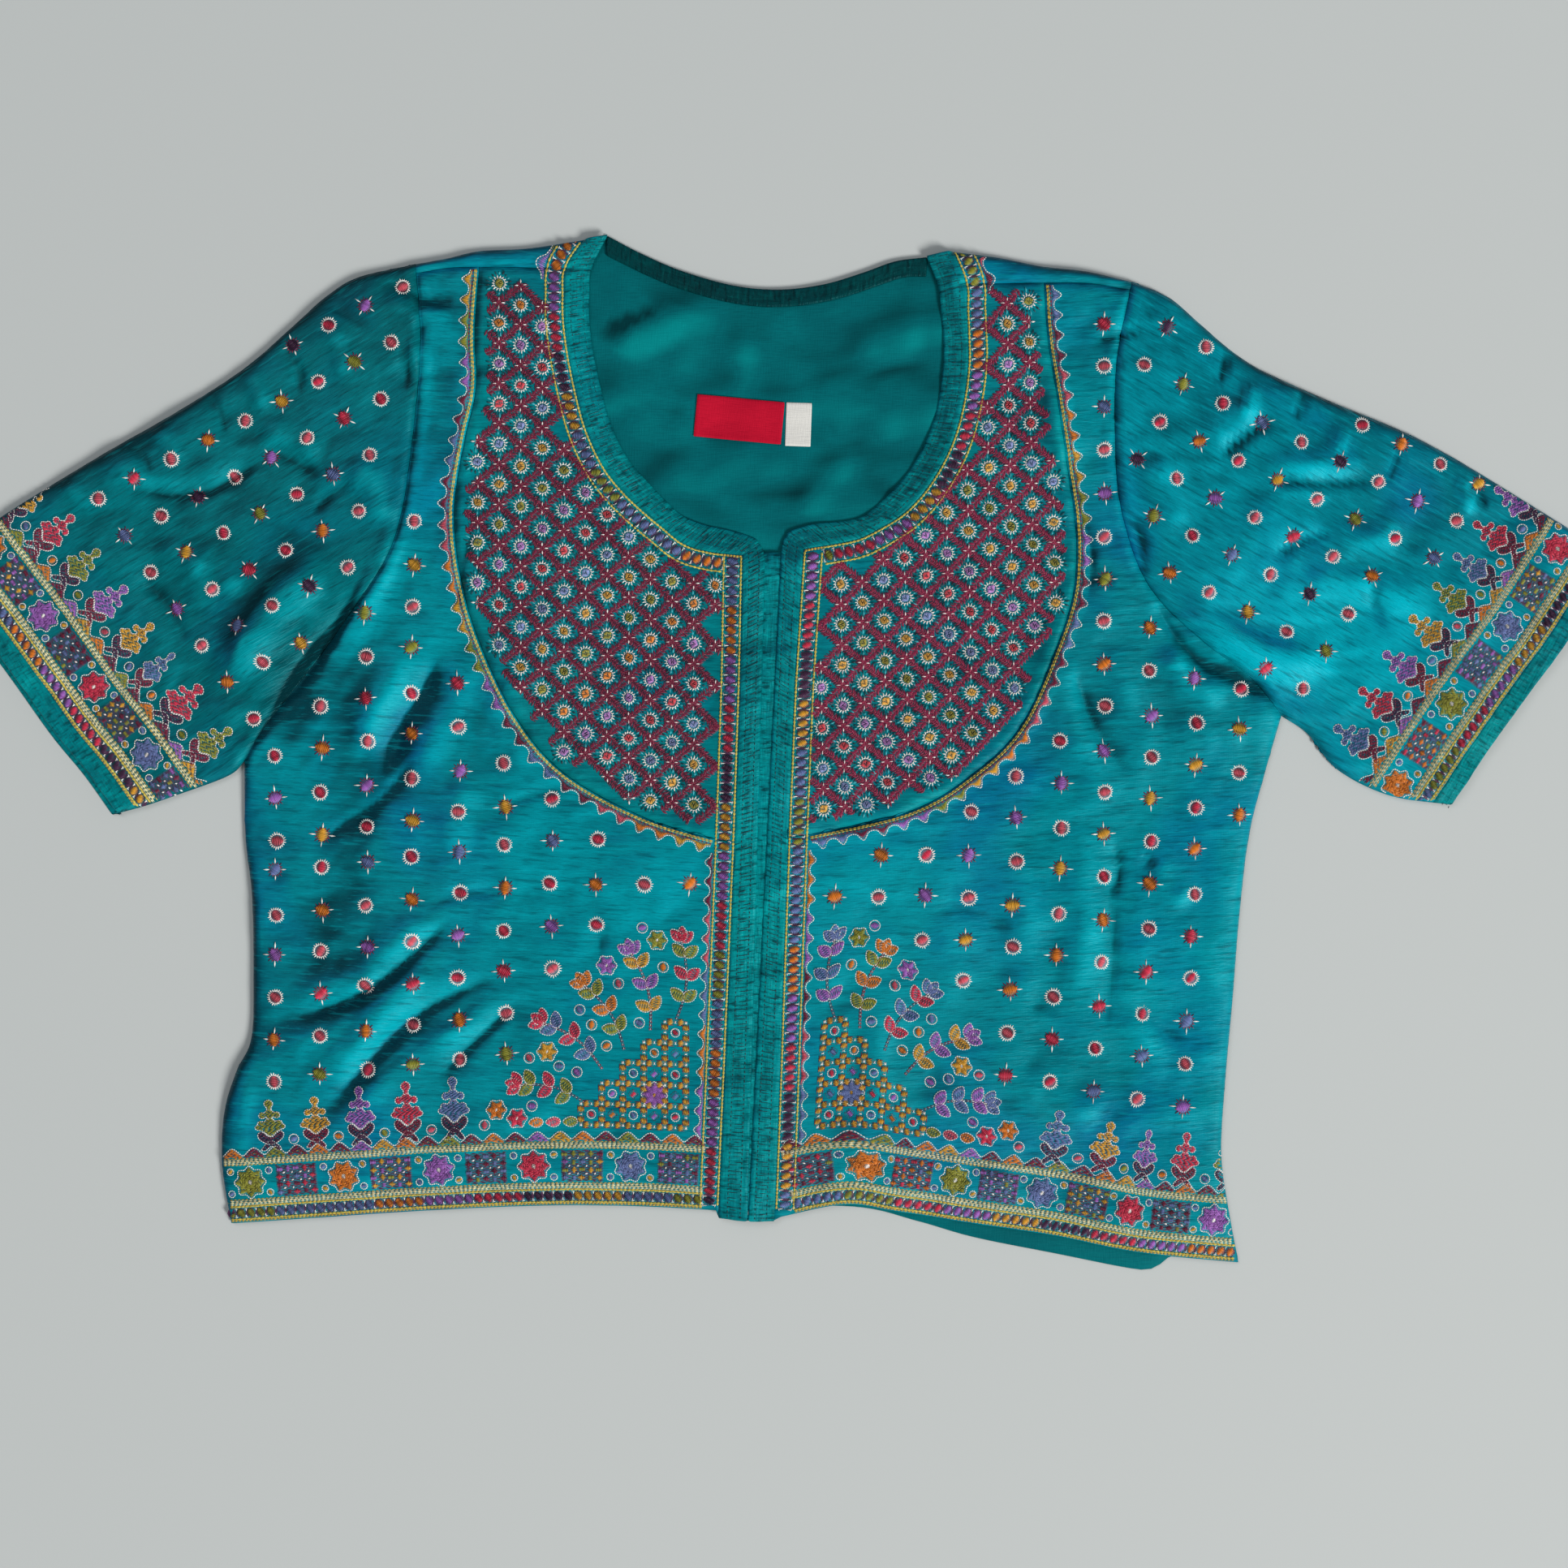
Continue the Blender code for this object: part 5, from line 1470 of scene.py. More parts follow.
def flower(nd, F, hue, r=8.2, petals=8, centre="white", x=0.0, y=0.0, phase=0.0):
    """A round flower of satin petals with a pale outline."""
    lobe = petal(r * 0.82, r * 0.36, 9)
    nd.fill(F, circle(r * 0.62, 20, x, y), hue, 0.3, 0.66, 4.0, 0.9, 0.3)
    rim = []
    for k in range(petals):
        a = phase + k * 2 * math.pi / petals
        p = turned_poly(lobe + (r * 0.14, 0), a, x, y)
        nd.fill(F, p, hue, a + math.pi / 2 + 0.25, 0.6, 5.0, 0.86, 0.75)
        nd.run(F, turned_poly([(r * 0.3, 0), (r * 0.84, 0)], a, x, y), "plum", 1.6, 0.5, 0.3, 0.85)
    t = np.linspace(0, 2 * np.pi, petals * 10, endpoint=False)
    rr = r * (0.93 + 0.10 * np.cos(petals * (t - phase)))
    rim = np.stack([x + rr * np.cos(t), y + rr * np.sin(t)], -1)
    nd.run(F, rim, "white", 1.15, 0.0, 0.72, 0.55, closed=True)
    nd.fill(F, circle(r * 0.13 + 0.25, 10, x, y), centre, 0.4, 0.5, 4, 0.6, 0.85)
    nd.rays(F, (x, y), r * 0.2, r * 0.36, petals, "plum", phase + math.pi / petals, 0.35, 0.66)


TREE_FOOT = [(-5.4, -1.8), (-2.7, -2.1), (0, 0.3), (2.7, -2.1), (5.4, -1.8), (1.6, 2.6), (-1.6, 2.6)]
TREE_BASE = [(-6.6, 7.2), (-5.2, 8.4), (-3.2, 7.6), (-1.6, 5.8), (0, 5.2), (1.6, 5.8), (3.2, 7.6),
             (5.2, 8.4), (6.8, 7.0), (6.2, 4.6), (3.6, 2.3), (1.2, 1.2), (-1.2, 1.2), (-3.6, 2.3),
             (-6.2, 4.6)]
TREE_WIDE = [(0, 5.6), (-1.6, 6.4), (-3.4, 8.3), (-5.2, 9.2), (-7.4, 9.8), (-7.9, 11.4), (-6.2, 12.4),
             (-6.4, 13.6), (-4.6, 14.4), (-2.6, 13.8), (-1.5, 15.6), (1.5, 15.6), (2.6, 13.8),
             (4.6, 14.4), (6.4, 13.6), (6.2, 12.4), (7.9, 11.4), (7.4, 9.8), (5.2, 9.2), (3.4, 8.3),
             (1.6, 6.4)]
TREE_MID = [(-1.3, 15.4), (-1.6, 16.8), (-3.4, 15.8), (-5.3, 16.4), (-5.4, 18.2), (-4.0, 19.2),
            (-2.4, 18.8), (-1.3, 20.4), (1.3, 20.4), (2.4, 18.8), (4.0, 19.2), (5.4, 18.2),
            (5.3, 16.4), (3.4, 15.8), (1.6, 16.8), (1.3, 15.4)]
TREE_TOP = [(-1.1, 20.2), (-1.2, 22.0), (-2.3, 23.2), (-2.0, 25.0), (0, 26.2), (2.0, 25.0),
            (2.3, 23.2), (1.2, 22.0), (1.1, 20.2)]


def tree(nd, F, hue, base="maroon", tall=1.0):
    """A tiered tree on a two-armed foot, outlined in white."""
    k = np.array([1.0, tall])
    for poly, col in ((TREE_FOOT, base), (TREE_BASE, base), (TREE_WIDE, hue), (TREE_MID, hue),
                      (TREE_TOP, hue)):
        p = smooth(np.array(poly + poly[:1]) * k, 3 * len(poly))[:-1]
        nd.fill(F, p, col, 0.12, 0.62, 3.2, 0.86, 0.75)
        nd.run(F, p, "white", 1.2, 0.0, 0.66, 0.6, closed=True)
    nd.run(F, np.array([(-5.4, 7.4), (-3.2, 5.6), (0, 4.0), (3.2, 5.6), (5.4, 7.4)]) * k, "rose", 1.4,
           0.1, 0.5, 0.9)
    nd.run(F, np.array([(0, 6.4), (0, 21.0)]) * k, "plum", 1.5, 0.3, 0.4, 0.9)


def leaf(nd, F, hue, x, y, a, length=6.0, half=1.9, rim="white"):
    p = turned_poly(petal(length, half, 9, 0.04), a, x, y)
    nd.fill(F, p, hue, a + 0.9, 0.6, 4.0, 0.84, 0.7)
    if rim:
        nd.run(F, p, rim, 1.2, 0.0, 0.64, 0.55, closed=True)


def checker(nd, F, a_hue, b_hue, wide=20.0, high=14.4):
    """A block of small satin squares on the point, set with pale knots."""
    nx, ny = 5, 4
    px_, py_ = wide / nx, high / ny
    q = 0.44
    hw, hh = wide / 2, high / 2
    nd.fill(F, [(-hw, -hh), (hw, -hh), (hw, hh), (-hw, hh)], "plum", 0.05, 0.66, 4.0, 0.85, 0.24)
    for i in range(nx):
        for j in range(ny):
            x, y = (i + 0.5) * px_ - wide / 2, (j + 0.5) * py_ - high / 2
            k = (i + j) % 2
            hue = a_hue if k == 0 else b_hue
            if RNG.rand() < 0.2:
                hue = ("maroon", "slate", "olive", "purple")[RNG.randint(4)]
            x, y = x + RNG.uniform(-0.3, 0.3), y + RNG.uniform(-0.25, 0.25)
            hw, hh = (px_ * 0.46, py_ * 0.46) if k == 0 else (px_ * 0.30, py_ * 0.30)
            nd.fill(F, [(x - hw, y), (x, y - hh), (x + hw, y), (x, y + hh)] if k == 0 else
                    [(x - hw, y - hh), (x + hw, y - hh), (x + hw, y + hh), (x - hw, y + hh)],
                    hue, 0.0 if (i % 2) else math.pi / 2, 0.56, 4, 0.74, 0.75 if k == 0 else 0.6)
    xs = (np.arange(nx - 1) + 1) * px_ - wide / 2
    ys = (np.arange(ny - 1) + 1) * py_ - high / 2
    gx_, gy_ = np.meshgrid(xs, ys)
    keep = ((np.arange(nx - 1)[None, :] + np.arange(ny - 1)[:, None]) % 2) == 0
    c = np.c_[gx_[keep], gy_[keep]]
    nd.sew(F, c - (0.8, 0.4), c + (0.8, 0.4), "white", 1.0, 0.95)
    c = np.c_[gx_[~keep], gy_[~keep]]
    nd.sew(F, c - (0.3, 0.7), c + (0.3, 0.7), "white", 0.85, 0.95)


BEADS = ["olive", "olive", "slate", "slate", "slate", "orange", "orange", "purple", "purple",
         "red", "red", "plum", "plum", "mustard", "mustard", "purple", "slate", "red"]


def ladder(nd, W, t0, t1, d0, d1, start=0, rails=True, run_of=5):
    """Two chain-stitched rails with satin beads and white ties between them."""
    if rails:
        t = np.linspace(t0, t1, max(2, int((t1 - t0) / 3)))
        for d in (d0, d1):
            nd.chain(W, np.c_[t, np.full(len(t), d)], "lemon", 1.9, 0.82, 0.66, 0.2)
            nd.run(W, np.c_[t, np.full(len(t), d)], "lemon", 2.4, -0.6, 0.7, 0.7)
        t = np.arange(t0 + 1.2, t1 - 1.0, 2.4)
        nd.sew(W, np.c_[t, np.full(len(t), d0 + 0.7)], np.c_[t, np.full(len(t), d1 - 0.7)],
               "plum", 2.2, 0.16)
    n = max(1, int(round((t1 - t0) / 5.0)))
    step = (t1 - t0) / n
    mid, half = (d0 + d1) / 2, (d1 - d0) / 2 - 0.7
    rx, ry = step * 0.43, min(half, 2.75)
    for k in range(n):
        t = t0 + (k + 0.5) * step
        hue = BEADS[((k // run_of) * 2 + start) % len(BEADS)]
        F = W.sub(t, mid)
        t_ = np.arange(16) * np.pi / 8
        oval = np.stack([rx * np.cos(t_) * (1 + 0.12 * np.cos(2 * t_)), ry * np.sin(t_)], -1)
        nd.run(F, oval * 1.04, "plum", 1.5, 0.05, 0.6, 0.4, closed=True)
        nd.fill(F, oval * 0.94, hue, 0.5 + 0.12 * (k % 2), 0.56, 6, 0.8, 1.05)
        e = step / 2
        nd.sew(F, [(e - 0.15, -half), (e + 0.1, half)], [(e - 0.3, -half * 0.25), (e + 0.25, half * 0.25)],
               "white", 0.62, 0.85)
        nd.sew(F, [(e - 0.9, half * 0.92), (e - 0.9, -half * 0.92)],
               [(e + 0.9, half * 0.80), (e + 0.9, -half * 0.80)], "white", 0.55, 0.75)


def cord_line(nd, W, t0, t1, d, wide=2.6):
    """A thick couched cord: three close rows of cream chain and gold edges."""
    t = np.linspace(t0, t1, max(2, int((t1 - t0) / 3)))
    one = np.ones(len(t))
    nd.chain(W, np.c_[t, one * (d - 0.25)], "cream", 2.1, 0.66, 0.85, 0.36)
    nd.chain(W, np.c_[t, one * (d + 0.95)], "cream", 2.3, 0.66, 0.85, 0.36)
    nd.run(W, np.c_[t, one * (d - 1.25)], "yellow", 2.0, 0.1, 0.62, 0.5)
    nd.run(W, np.c_[t, one * (d + 1.95)], "yellow", 2.0, 0.2, 0.6, 0.5)
    nd.run(W, np.c_[t, one * (d + 0.35)], "olive", 2.2, 1.1, 0.34, 0.95)


SCALLOPS = ["maroon", "mustard", "slate", "purple", "orange", "maroon", "olive", "rose"]


def scallops(nd, W, t0, t1, d, depth=4.6, period=10.6, start=0, hues=SCALLOPS, run_of=1):
    """A row of small pointed scallops with a white edge."""
    n = max(1, int(round((t1 - t0) / period)))
    p = (t1 - t0) / n
    for k in range(n):
        hue = hues[(k // run_of + start) % len(hues)]
        F = W.sub(t0 + (k + 0.5) * p, d)
        tip = depth * (0.95 + 0.1 * RNG.rand())
        shape = [(-p / 2, 0), (p / 2, 0), (p / 2, 0.5), (p * 0.26, 1.2), (p * 0.14, tip * 0.72),
                 (0, tip), (-p * 0.14, tip * 0.72), (-p * 0.26, 1.2), (-p / 2, 0.5)]
        nd.fill(F, shape, hue, math.pi / 2 + 0.15, 0.6, 5.5, 0.84, 0.65)
        nd.run(F, np.array(shape[2:]) * (1.0, 1.0) + (0, 0.45), "white", 1.15, 0.0, 0.68, 0.55)


def hills(nd, W, t0, t1, d, start=0, period=11.0, depth=4.4):
    hues = ["orange", "maroon", "olive", "maroon", "orange", "maroon", "purple", "mustard"]
    n = max(1, int(round((t1 - t0) / period)))
    p = (t1 - t0) / n
    for k in range(n):
        F = W.sub(t0 + (k + 0.5) * p, d)
        x = np.linspace(-p / 2, p / 2, 11)
        y = 0.5 + (depth - 0.5) * np.clip(np.cos(np.pi * x / p), 0, 1) ** 1.5
        shape = np.vstack([[(-p / 2, 0)], np.c_[x, y], [(p / 2, 0)]])
        nd.fill(F, shape, hues[(k + start) % len(hues)], 0.05, 0.6, 4.0, 0.84, 0.6)
        nd.run(F, np.c_[x, y + 0.45], "white", 1.2, 0.0, 0.66, 0.55)
        y2 = 0.45 * y
        nd.run(F, np.c_[x * 0.7, y2], "maroon" if k % 2 == 0 else "mustard", 1.3, 0.1, 0.42, 0.62)


FLOWERS = ["olive", "orange", "purple", "red", "slate"]
CHECKS = [("red", "maroon"), ("mustard", "purple"), ("maroon", "slate"), ("mustard", "olive"),
          ("slate", "purple"), ("orange", "red")]


def band_of_flowers(nd, W, t0, t1, mid, start=0, period=46.0, first_flower=True):
    """Flowers and checkered blocks in turn, small rings at their corners."""
    n = max(1, int(round((t1 - t0) / (period / 2))))
    p = (t1 - t0) / n
    for k in range(n):
        t = t0 + (k + 0.5) * p
        F = W.sub(t, mid)
        if (k % 2 == 0) == first_flower:
            flower(nd, F, FLOWERS[(k // 2 + start) % 5], 8.1, 8, phase=0.2 * (k % 3))
            for sx in (-1, 1):
                for sy in (-1, 1):
                    small_ring(nd, W.sub(t + sx * 9.9, mid + sy * 5.6),
                               ("mustard", "purple", "slate", "rose")[(k + sx + sy) % 4], 1.75)
        else:
            a_hue, b_hue = CHECKS[(k // 2 + start) % len(CHECKS)]
            checker(nd, F, a_hue, b_hue, 21.0, 15.8)


def border(nd, W, t0, t1, base, trees, first, spacing, hues, bead_start, flower_start,
           ladder_w=6.3, with_edge=True, talls=(1.0,)):
    """The whole edge: ladder, cord, band of flowers, cord, hills and trees."""
    if with_edge:
        t = np.linspace(t0, t1, int((t1 - t0) / 3))
        nd.chain(W, np.c_[t, np.full(len(t), base + 0.55)], "yellow", 1.8, 0.46, 0.42, 0.24)
    ladder(nd, W, t0, t1, base + 1.4, base + 1.4 + ladder_w, bead_start)
    cord_line(nd, W, t0, t1, base + 9.4)
    band_of_flowers(nd, W, t0 + 1.5, t1 - 1.0, base + 20.0, flower_start)
    cord_line(nd, W, t0, t1, base + 30.2)
    hills(nd, W, t0, t1, base + 32.6, flower_start)
    for k in range(trees):
        t = first + k * spacing
        if t > t1 - 4.5:
            break
        tree(nd, W.sub(t, base + 37.4, size=0.98), hues[k % len(hues)],
             "maroon" if k % 2 else "plum", talls[k % len(talls)])
        if k + 1 < trees:
            tm = t + spacing / 2
            small_ring(nd, W.sub(tm, base + 40.4), ("slate", "orange", "olive", "rose")[k % 4], 2.5)


# --------------------------------------------------------- fields of small motifs
def inside(poly, p):
    x, y = p[:, 0], p[:, 1]
    x0, y0 = poly[:, 0], poly[:, 1]
    x1, y1 = np.roll(x0, -1), np.roll(y0, -1)
    hit = (y0[None] > y[:, None]) != (y1[None] > y[:, None])
    with np.errstate(divide="ignore", invalid="ignore"):
        cross = x[:, None] < x0[None] + (y[:, None] - y0[None]) * (x1 - x0)[None] / (y1 - y0)[None]
    return (hit & cross).sum(1) % 2 == 1


def clearance(p, line):
    a, b = line[:-1], line[1:]
    d = b - a
    w = p[:, None, :] - a[None]
    t = np.clip(np.sum(w * d, axis=2) / np.sum(d * d, axis=1), 0, 1)
    return np.linalg.norm(p[:, None, :] - a[None] - t[..., None] * d[None], axis=2).min(1)


HEM_WAY, PLACKET_WAY, NECK_WAY, YOKE_WAY, CUFF_WAY = {}, {}, {}, {}, {}
for s in "rl":
    sign = 1 if s == "r" else -1
    HEM_WAY[s] = Way(smooth(side_points(HEM, s), 120), 1 if s == "r" else -1)
    PLACKET_WAY[s] = Way(edge[s, "p_out"][::6], -1 if s == "r" else 1)
    NECK_WAY[s] = Way([q[2] for q in strips if q[:2] == (s, "neck")][0], -1 if s == "r" else 1)
    YOKE_WAY[s] = Way(edge[s, "yoke"], -1 if s == "r" else 1)
    # along the cuff at the seam of its plain band, inner side to the shoulder
    across_ = np.linspace(0, 1, 160)
    row = sleeve_points(s, near_cuff(s, across_, PLAIN_BAND[s][0]), across_)
    CUFF_WAY[s] = Way(row, 1 if s == "r" else -1)

STAR_ROWS_R = ["slate", "orange", "purple", "red", "orange", "olive", "plum"]
STAR_DIAGONAL = ["purple", "mustard", "orange", "red", "slate", "purple", "olive", "orange"]

# the corner piece's fan: start, direction, length and colours of each sprig
TRELLIS, STEPS = 10.6, 5
SPRIGS = ((7.0, 56.0, 94, 40, 0), (20.0, 50.0, 76, 40, 1), (33.0, 40.0, 58, 38, 2),
          (44.0, 30.0, 38, 38, 3), (53.0, 13.0, 16, 34, 0))


def corner_frame(s):
    """u runs from the placket to the side, v up from the top of the hem border."""
    flip, x0, lean = (-1.0, -41.8, 0.0) if s == "r" else (1.0, 20.4, 0.07)
    W = HEM_WAY[s]
    top = W(np.stack([np.linspace(0, W.length, 400), np.full(400, 39.0)], -1))
    top = top[np.argsort(top[:, 0])]

    def F(p):
        p = np.asarray(p, float)
        u, v = p[..., 0], p[..., 1]
        x = x0 + lean * v + flip * u
        return np.stack([x, np.interp(x0 + flip * u, top[:, 0], top[:, 1]) + v], -1)
    return F


def corner_plan():
    """Flowers and rings in the gaps of the fan, and discs over all of it."""
    discs = [(i * TRELLIS + 7.3, j * TRELLIS + 7.3, 8.0) for i in range(STEPS) for j in range(STEPS - i)]
    discs += [(4.0 + STEPS * TRELLIS + 2.5 + 8.6 * k, 3.6, 4.4) for k in range(3)]
    for u, v, a, size, kind in SPRIGS:
        a = math.radians(a)
        for f in (0.1, 0.26, 0.4, 0.54, 0.68, 0.82, 1.0):
            q = turned_poly([(f * size, 0.10 * size * math.sin(math.pi * f))], a, u, v)[0]
            discs.append((q[0], q[1], 1.6))
            if f in (0.26, 0.54, 0.82):
                for sg in (-0.85, 0.85):
                    discs.append((q[0] + 4.8 * math.cos(a + sg), q[1] + 4.8 * math.sin(a + sg), 4.6))
        discs.append((q[0] + 4.4 * math.cos(a), q[1] + 4.4 * math.sin(a), 6.6))
    spots = [(u, v) for u in np.arange(3.0, 106.0, 1.5) for v in np.arange(3.0, 124.0, 1.5)
             if u / 112 + v / 134 < 1.0]
    spots.sort(key=lambda p: (abs(math.hypot(p[0], p[1]) - 82.0), p))
    found = {5.2: [], 2.7: []}
    for r, most in ((5.2, 5), (2.7, 12)):
        for u, v in spots:
            if len(found[r]) < most and all(math.hypot(u - x, v - y) > r + d + 0.9 for x, y, d in discs):
                found[r].append((u, v))
                discs.append((u, v, r + (2.5 if r < 5 else 0.0)))
    return found[5.2], found[2.7], np.array(discs)


CORNER_FLOWERS, CORNER_RINGS, CORNER_DISCS = corner_plan()

made_threads, zones = {}, {}
for s in "rl":
    nd = Needle()
    sgn = -1 if s == "r" else 1
    # region of the front: inside its outline, clear of every border
    left = np.vstack([edge[s, "armhole"], edge[s, "side"][1:]])
    hem = smooth(side_points(HEM, s), 60)
    outline = np.vstack([left, hem[1:], edge[s, "p_low"][::-1], edge[s, "yoke"][::-1],
                         xy(SHOULDER[s], "xs", "ys")[:1]])
    cols = np.arange(0, 12)
    # columns by distance from the side, rows counted from the first whole row
    pts, kinds, hues = [], [], []
    for j in range(-13, 6):
        for i in range(11):
            if s == "r":
                x = -251.0 + 23.2 * i
                y = -66.0 - (21.0 if j > 1 else 21.6) * (j - 1) - 0.108 * max(0.0, -x - 110)
                if j <= -1:
                    y -= 0.05 * max(0.0, -x - 110)
                dot = (i + j) % 2 == 1
                hue = STAR_ROWS_R[j % 6] if j >= 0 else ["olive", "mustard", "purple", "orange",
                                                         "red", "olive"][(-j) % 6]
            else:
                x = 31.4 + 22.7 * i
                y = -51.0 - 21.5 * j - 0.175 * max(0.0, x - 100)
                x -= 0.05 * max(0.0, -60 - y)
                dot = (i + j) % 2 == 0
                hue = STAR_DIAGONAL[((i + j) // 2 - 1) % 8]
            pts.append((x + RNG.uniform(-0.8, 0.8), y + RNG.uniform(-0.8, 0.8)))
            kinds.append(dot)
            hues.append(hue)
    pts = np.array(pts)
    ok = inside(outline, pts) & (clearance(pts, left) > 5.2) & (clearance(pts, edge[s, "yoke"]) > 13)
    ok &= clearance(pts, edge[s, "p_out"][::8]) > 21
    ok &= clearance(pts, hem) > 58
    # a bay at the foot of the placket is kept for the corner piece
    cx, cy = (-26.0, -231.0) if s == "r" else (2.0, -235.0)
    u, v = sgn * (pts[:, 0] - cx), pts[:, 1] - cy
    ok &= ~((u < 106) & (v < 138) & (u / 128 + v / 172 < 1.0))
    taken = corner_frame(s)(CORNER_DISCS[:, :2])
    apart = np.linalg.norm(pts[:, None] - taken[None], axis=2) - CORNER_DISCS[:, 2]
    ok &= apart.min(axis=1) > 5.4
    for (x, y), dot, hue, good in zip(pts, kinds, hues, ok):
        if not good:
            continue
        F = placed(x, y, RNG.uniform(-0.12, 0.12), RNG.uniform(0.94, 1.05))
        if dot:
            ringed_dot(nd, F, "rose" if RNG.rand() < 0.65 else "red")
        else:
            star(nd, F, hue)
    made_threads["field_" + s] = nd
    zones["field_" + s] = zones["hem_" + s] = zones["corner_" + s] = outline

    # edge of the front: hem, side of the placket, seam of the yoke
    nd = Needle()
    W = HEM_WAY[s]
    t_end = W.length - 9.6
    start = -1.4 if s == "r" else 2.6
    if s == "r":
        tree_first, n_trees, tree_hues = 24.0, 5, ["olive", "mustard", "purple", "red", "slate"]
    else:
        tree_first, n_trees, tree_hues = 10.0, 5, ["olive", "red", "purple", "mustard", "slate"]
    border(nd, W, start, t_end, 0.4, n_trees, tree_first, 23.0, tree_hues,
           0 if s == "r" else 5, 0 if s == "r" else 2,
           talls=(0.92, 0.92, 1.06, 1.1, 1.14) if s == "r" else (0.96, 1.0, 0.96, 0.96, 1.0))
    made_threads["hem_" + s] = nd

    nd = Needle()
    W = PLACKET_WAY[s]
    ladder(nd, W, 0.9, W.length - 1.0, 0.9, 9.6, 3 if s == "r" else 8)
    t_yoke = edge[s, "p_out"][0][1] - edge[s, "yoke"][-1][1]
    scallops(nd, W, t_yoke + 6, W.length - 34.5, 10.6, 3.9, 9.6, 2 if s == "r" else 5,
             ["orange", "purple", "maroon", "rose", "slate"], 3)
    made_threads["placket_edge_" + s] = nd

    nd = Needle()
    W = YOKE_WAY[s]
    t = np.linspace(1.0, W.length - 10, 120)
    nd.run(W, np.c_[t, np.full(len(t), 1.2)], "yellow", 2.2, -0.6, 0.8, 0.5)
    nd.run(W, np.c_[t, np.full(len(t), 1.9)], "lemon", 2.0, -0.5, 0.7, 0.6)
    nd.run(W, np.c_[t, np.full(len(t), 2.8)], "maroon", 2.0, -0.3, 0.8, 0.36)
    scallops(nd, W, 1.5, W.length - 10.5, 3.1, 4.9, 10.4, 0 if s == "r" else 4,
             ["mustard", "olive", "purple", "maroon", "slate", "maroon", "rose", "orange"], 2)
    made_threads["yoke_edge_" + s] = nd

    # ladder round the neck, on the yoke
    nd = Needle()
    W = NECK_WAY[s]
    ladder(nd, W, 0.6, W.length - 9.8, 0.9, 9.4, 6 if s == "r" else 1, run_of=4)
    nd.chain(W, np.c_[np.linspace(W.length - 10, W.length - 0.4, 8), np.full(8, 0.9)],
             "yellow", 1.7, 0.72, 0.62, 0.26)
    scallops(nd, W, 2.0, 24.0, 10.4, 5.0, 11.0, 3, ["purple", "olive"] if s == "r" else ["maroon", "rose"], 1)
    made_threads["neck_" + s] = nd
    fold = np.array(xy(SHOULDER[s], "xf", "yf"))[2:]
    zones["neck_" + s] = np.vstack([fold, NECK_WAY[s].p[1:], edge[s, "p_up"][1:],
                                    edge[s, "yoke"][::-1]])

    # diamond lattice of the yoke: bands of herringbone, a ringed dot in each
    # diamond, one hue to a slanting row
    nd = Needle()
    inner = np.vstack([edge[s, "neck_out"], edge[s, "p_up"][1:]])
    zone = np.vstack([edge[s, "yoke"], inner[::-1]])
    top = 239.0 if s == "r" else 233.0
    if s == "r":
        origin, A, B = np.array([-116.2, 153.7]), np.array([-10.9, -9.1]), np.array([10.9, -11.2])
    else:
        origin, A, B = np.array([118.7, 195.8]), np.array([11.0, -9.1]), np.array([-10.6, -11.3])
    ROW = ["honey", "moss", "lilac", "coral", "sky", "honey", "moss", "amber", "lilac",
           "coral", "sky"] if s == "r" else ["lilac", "coral", "sky", "honey", "moss", "honey"]
    band_hue = "maroon" if s == "r" else "crimson"

    def room(p, to_yoke, to_neck):
        return (inside(zone, p) & (clearance(p, edge[s, "yoke"]) > to_yoke)
                & (clearance(p, inner) > to_neck) & (p[:, 1] < top))

    for i in range(-16, 17):
        for j in range(-16, 17):
            c = origin + i * A + j * B
            at_top, at_left = c - (A + B) / 2, c + (A - B) / 2
            at_right, at_low = c - (A - B) / 2, c + (A + B) / 2
            cells = np.array([c, at_top, at_left, at_right, at_low])
            # bands on the two upper sides of this diamond
            for a_, b_, seen in ((at_left, at_top, 0), (at_top, at_right, 0)):
                d_ = (b_ - a_) / np.linalg.norm(b_ - a_)
                n_ = np.array([-d_[1], d_[0]])
                L = np.linalg.norm(b_ - a_)
                ends_ = room(np.array([a_, b_, (a_ + b_) / 2]), 4.6, 4.0)
                if ends_.sum() < 2:
                    continue
                base_ = a_ + np.arange(0.3, L - 0.1, 0.98)[:, None] * d_
                base_ = base_[room(base_, 6.0, 10.6)]
                if not len(base_):
                    continue
                m_ = len(base_)
                for sg in (1, -1):
                    out_ = RNG.uniform(1.5, 3.1, m_)[:, None] * sg
                    nd.sew(plain, base_ - 0.6 * d_ - 0.5 * sg * n_,
                           base_ + out_ * n_ + RNG.uniform(0.5, 1.5, m_)[:, None] * d_, band_hue, 1.15, 0.66)
                nd.sew(plain, base_[1::2] + 1.1 * n_ - 0.2 * d_, base_[1::2] + 2.9 * n_ + 0.7 * d_,
                       "plum", 0.6, 0.7)
                nd.sew(plain, base_[::2] - 1.1 * n_ - 0.2 * d_, base_[::2] - 2.9 * n_ + 0.7 * d_,
                       "plum", 0.6, 0.7)
                nd.sew(plain, base_[2::5] - 0.4 * d_, base_[2::5] + 0.8 * d_, "rose", 0.6, 0.85)
            # crossing above the diamond
            if room(at_top[None], 5.0, 12.2)[0]:
                F = placed(at_top[0], at_top[1], RNG.uniform(-0.1, 0.1))
                nd.rays(F, (0, 0), 0.8, 3.4, 4, "white", 0.0, 0.95, 0.98)
                nd.rays(F, (0, 0), 0.2, 1.4, 4, "rose", np.pi / 4, 0.6, 0.85)
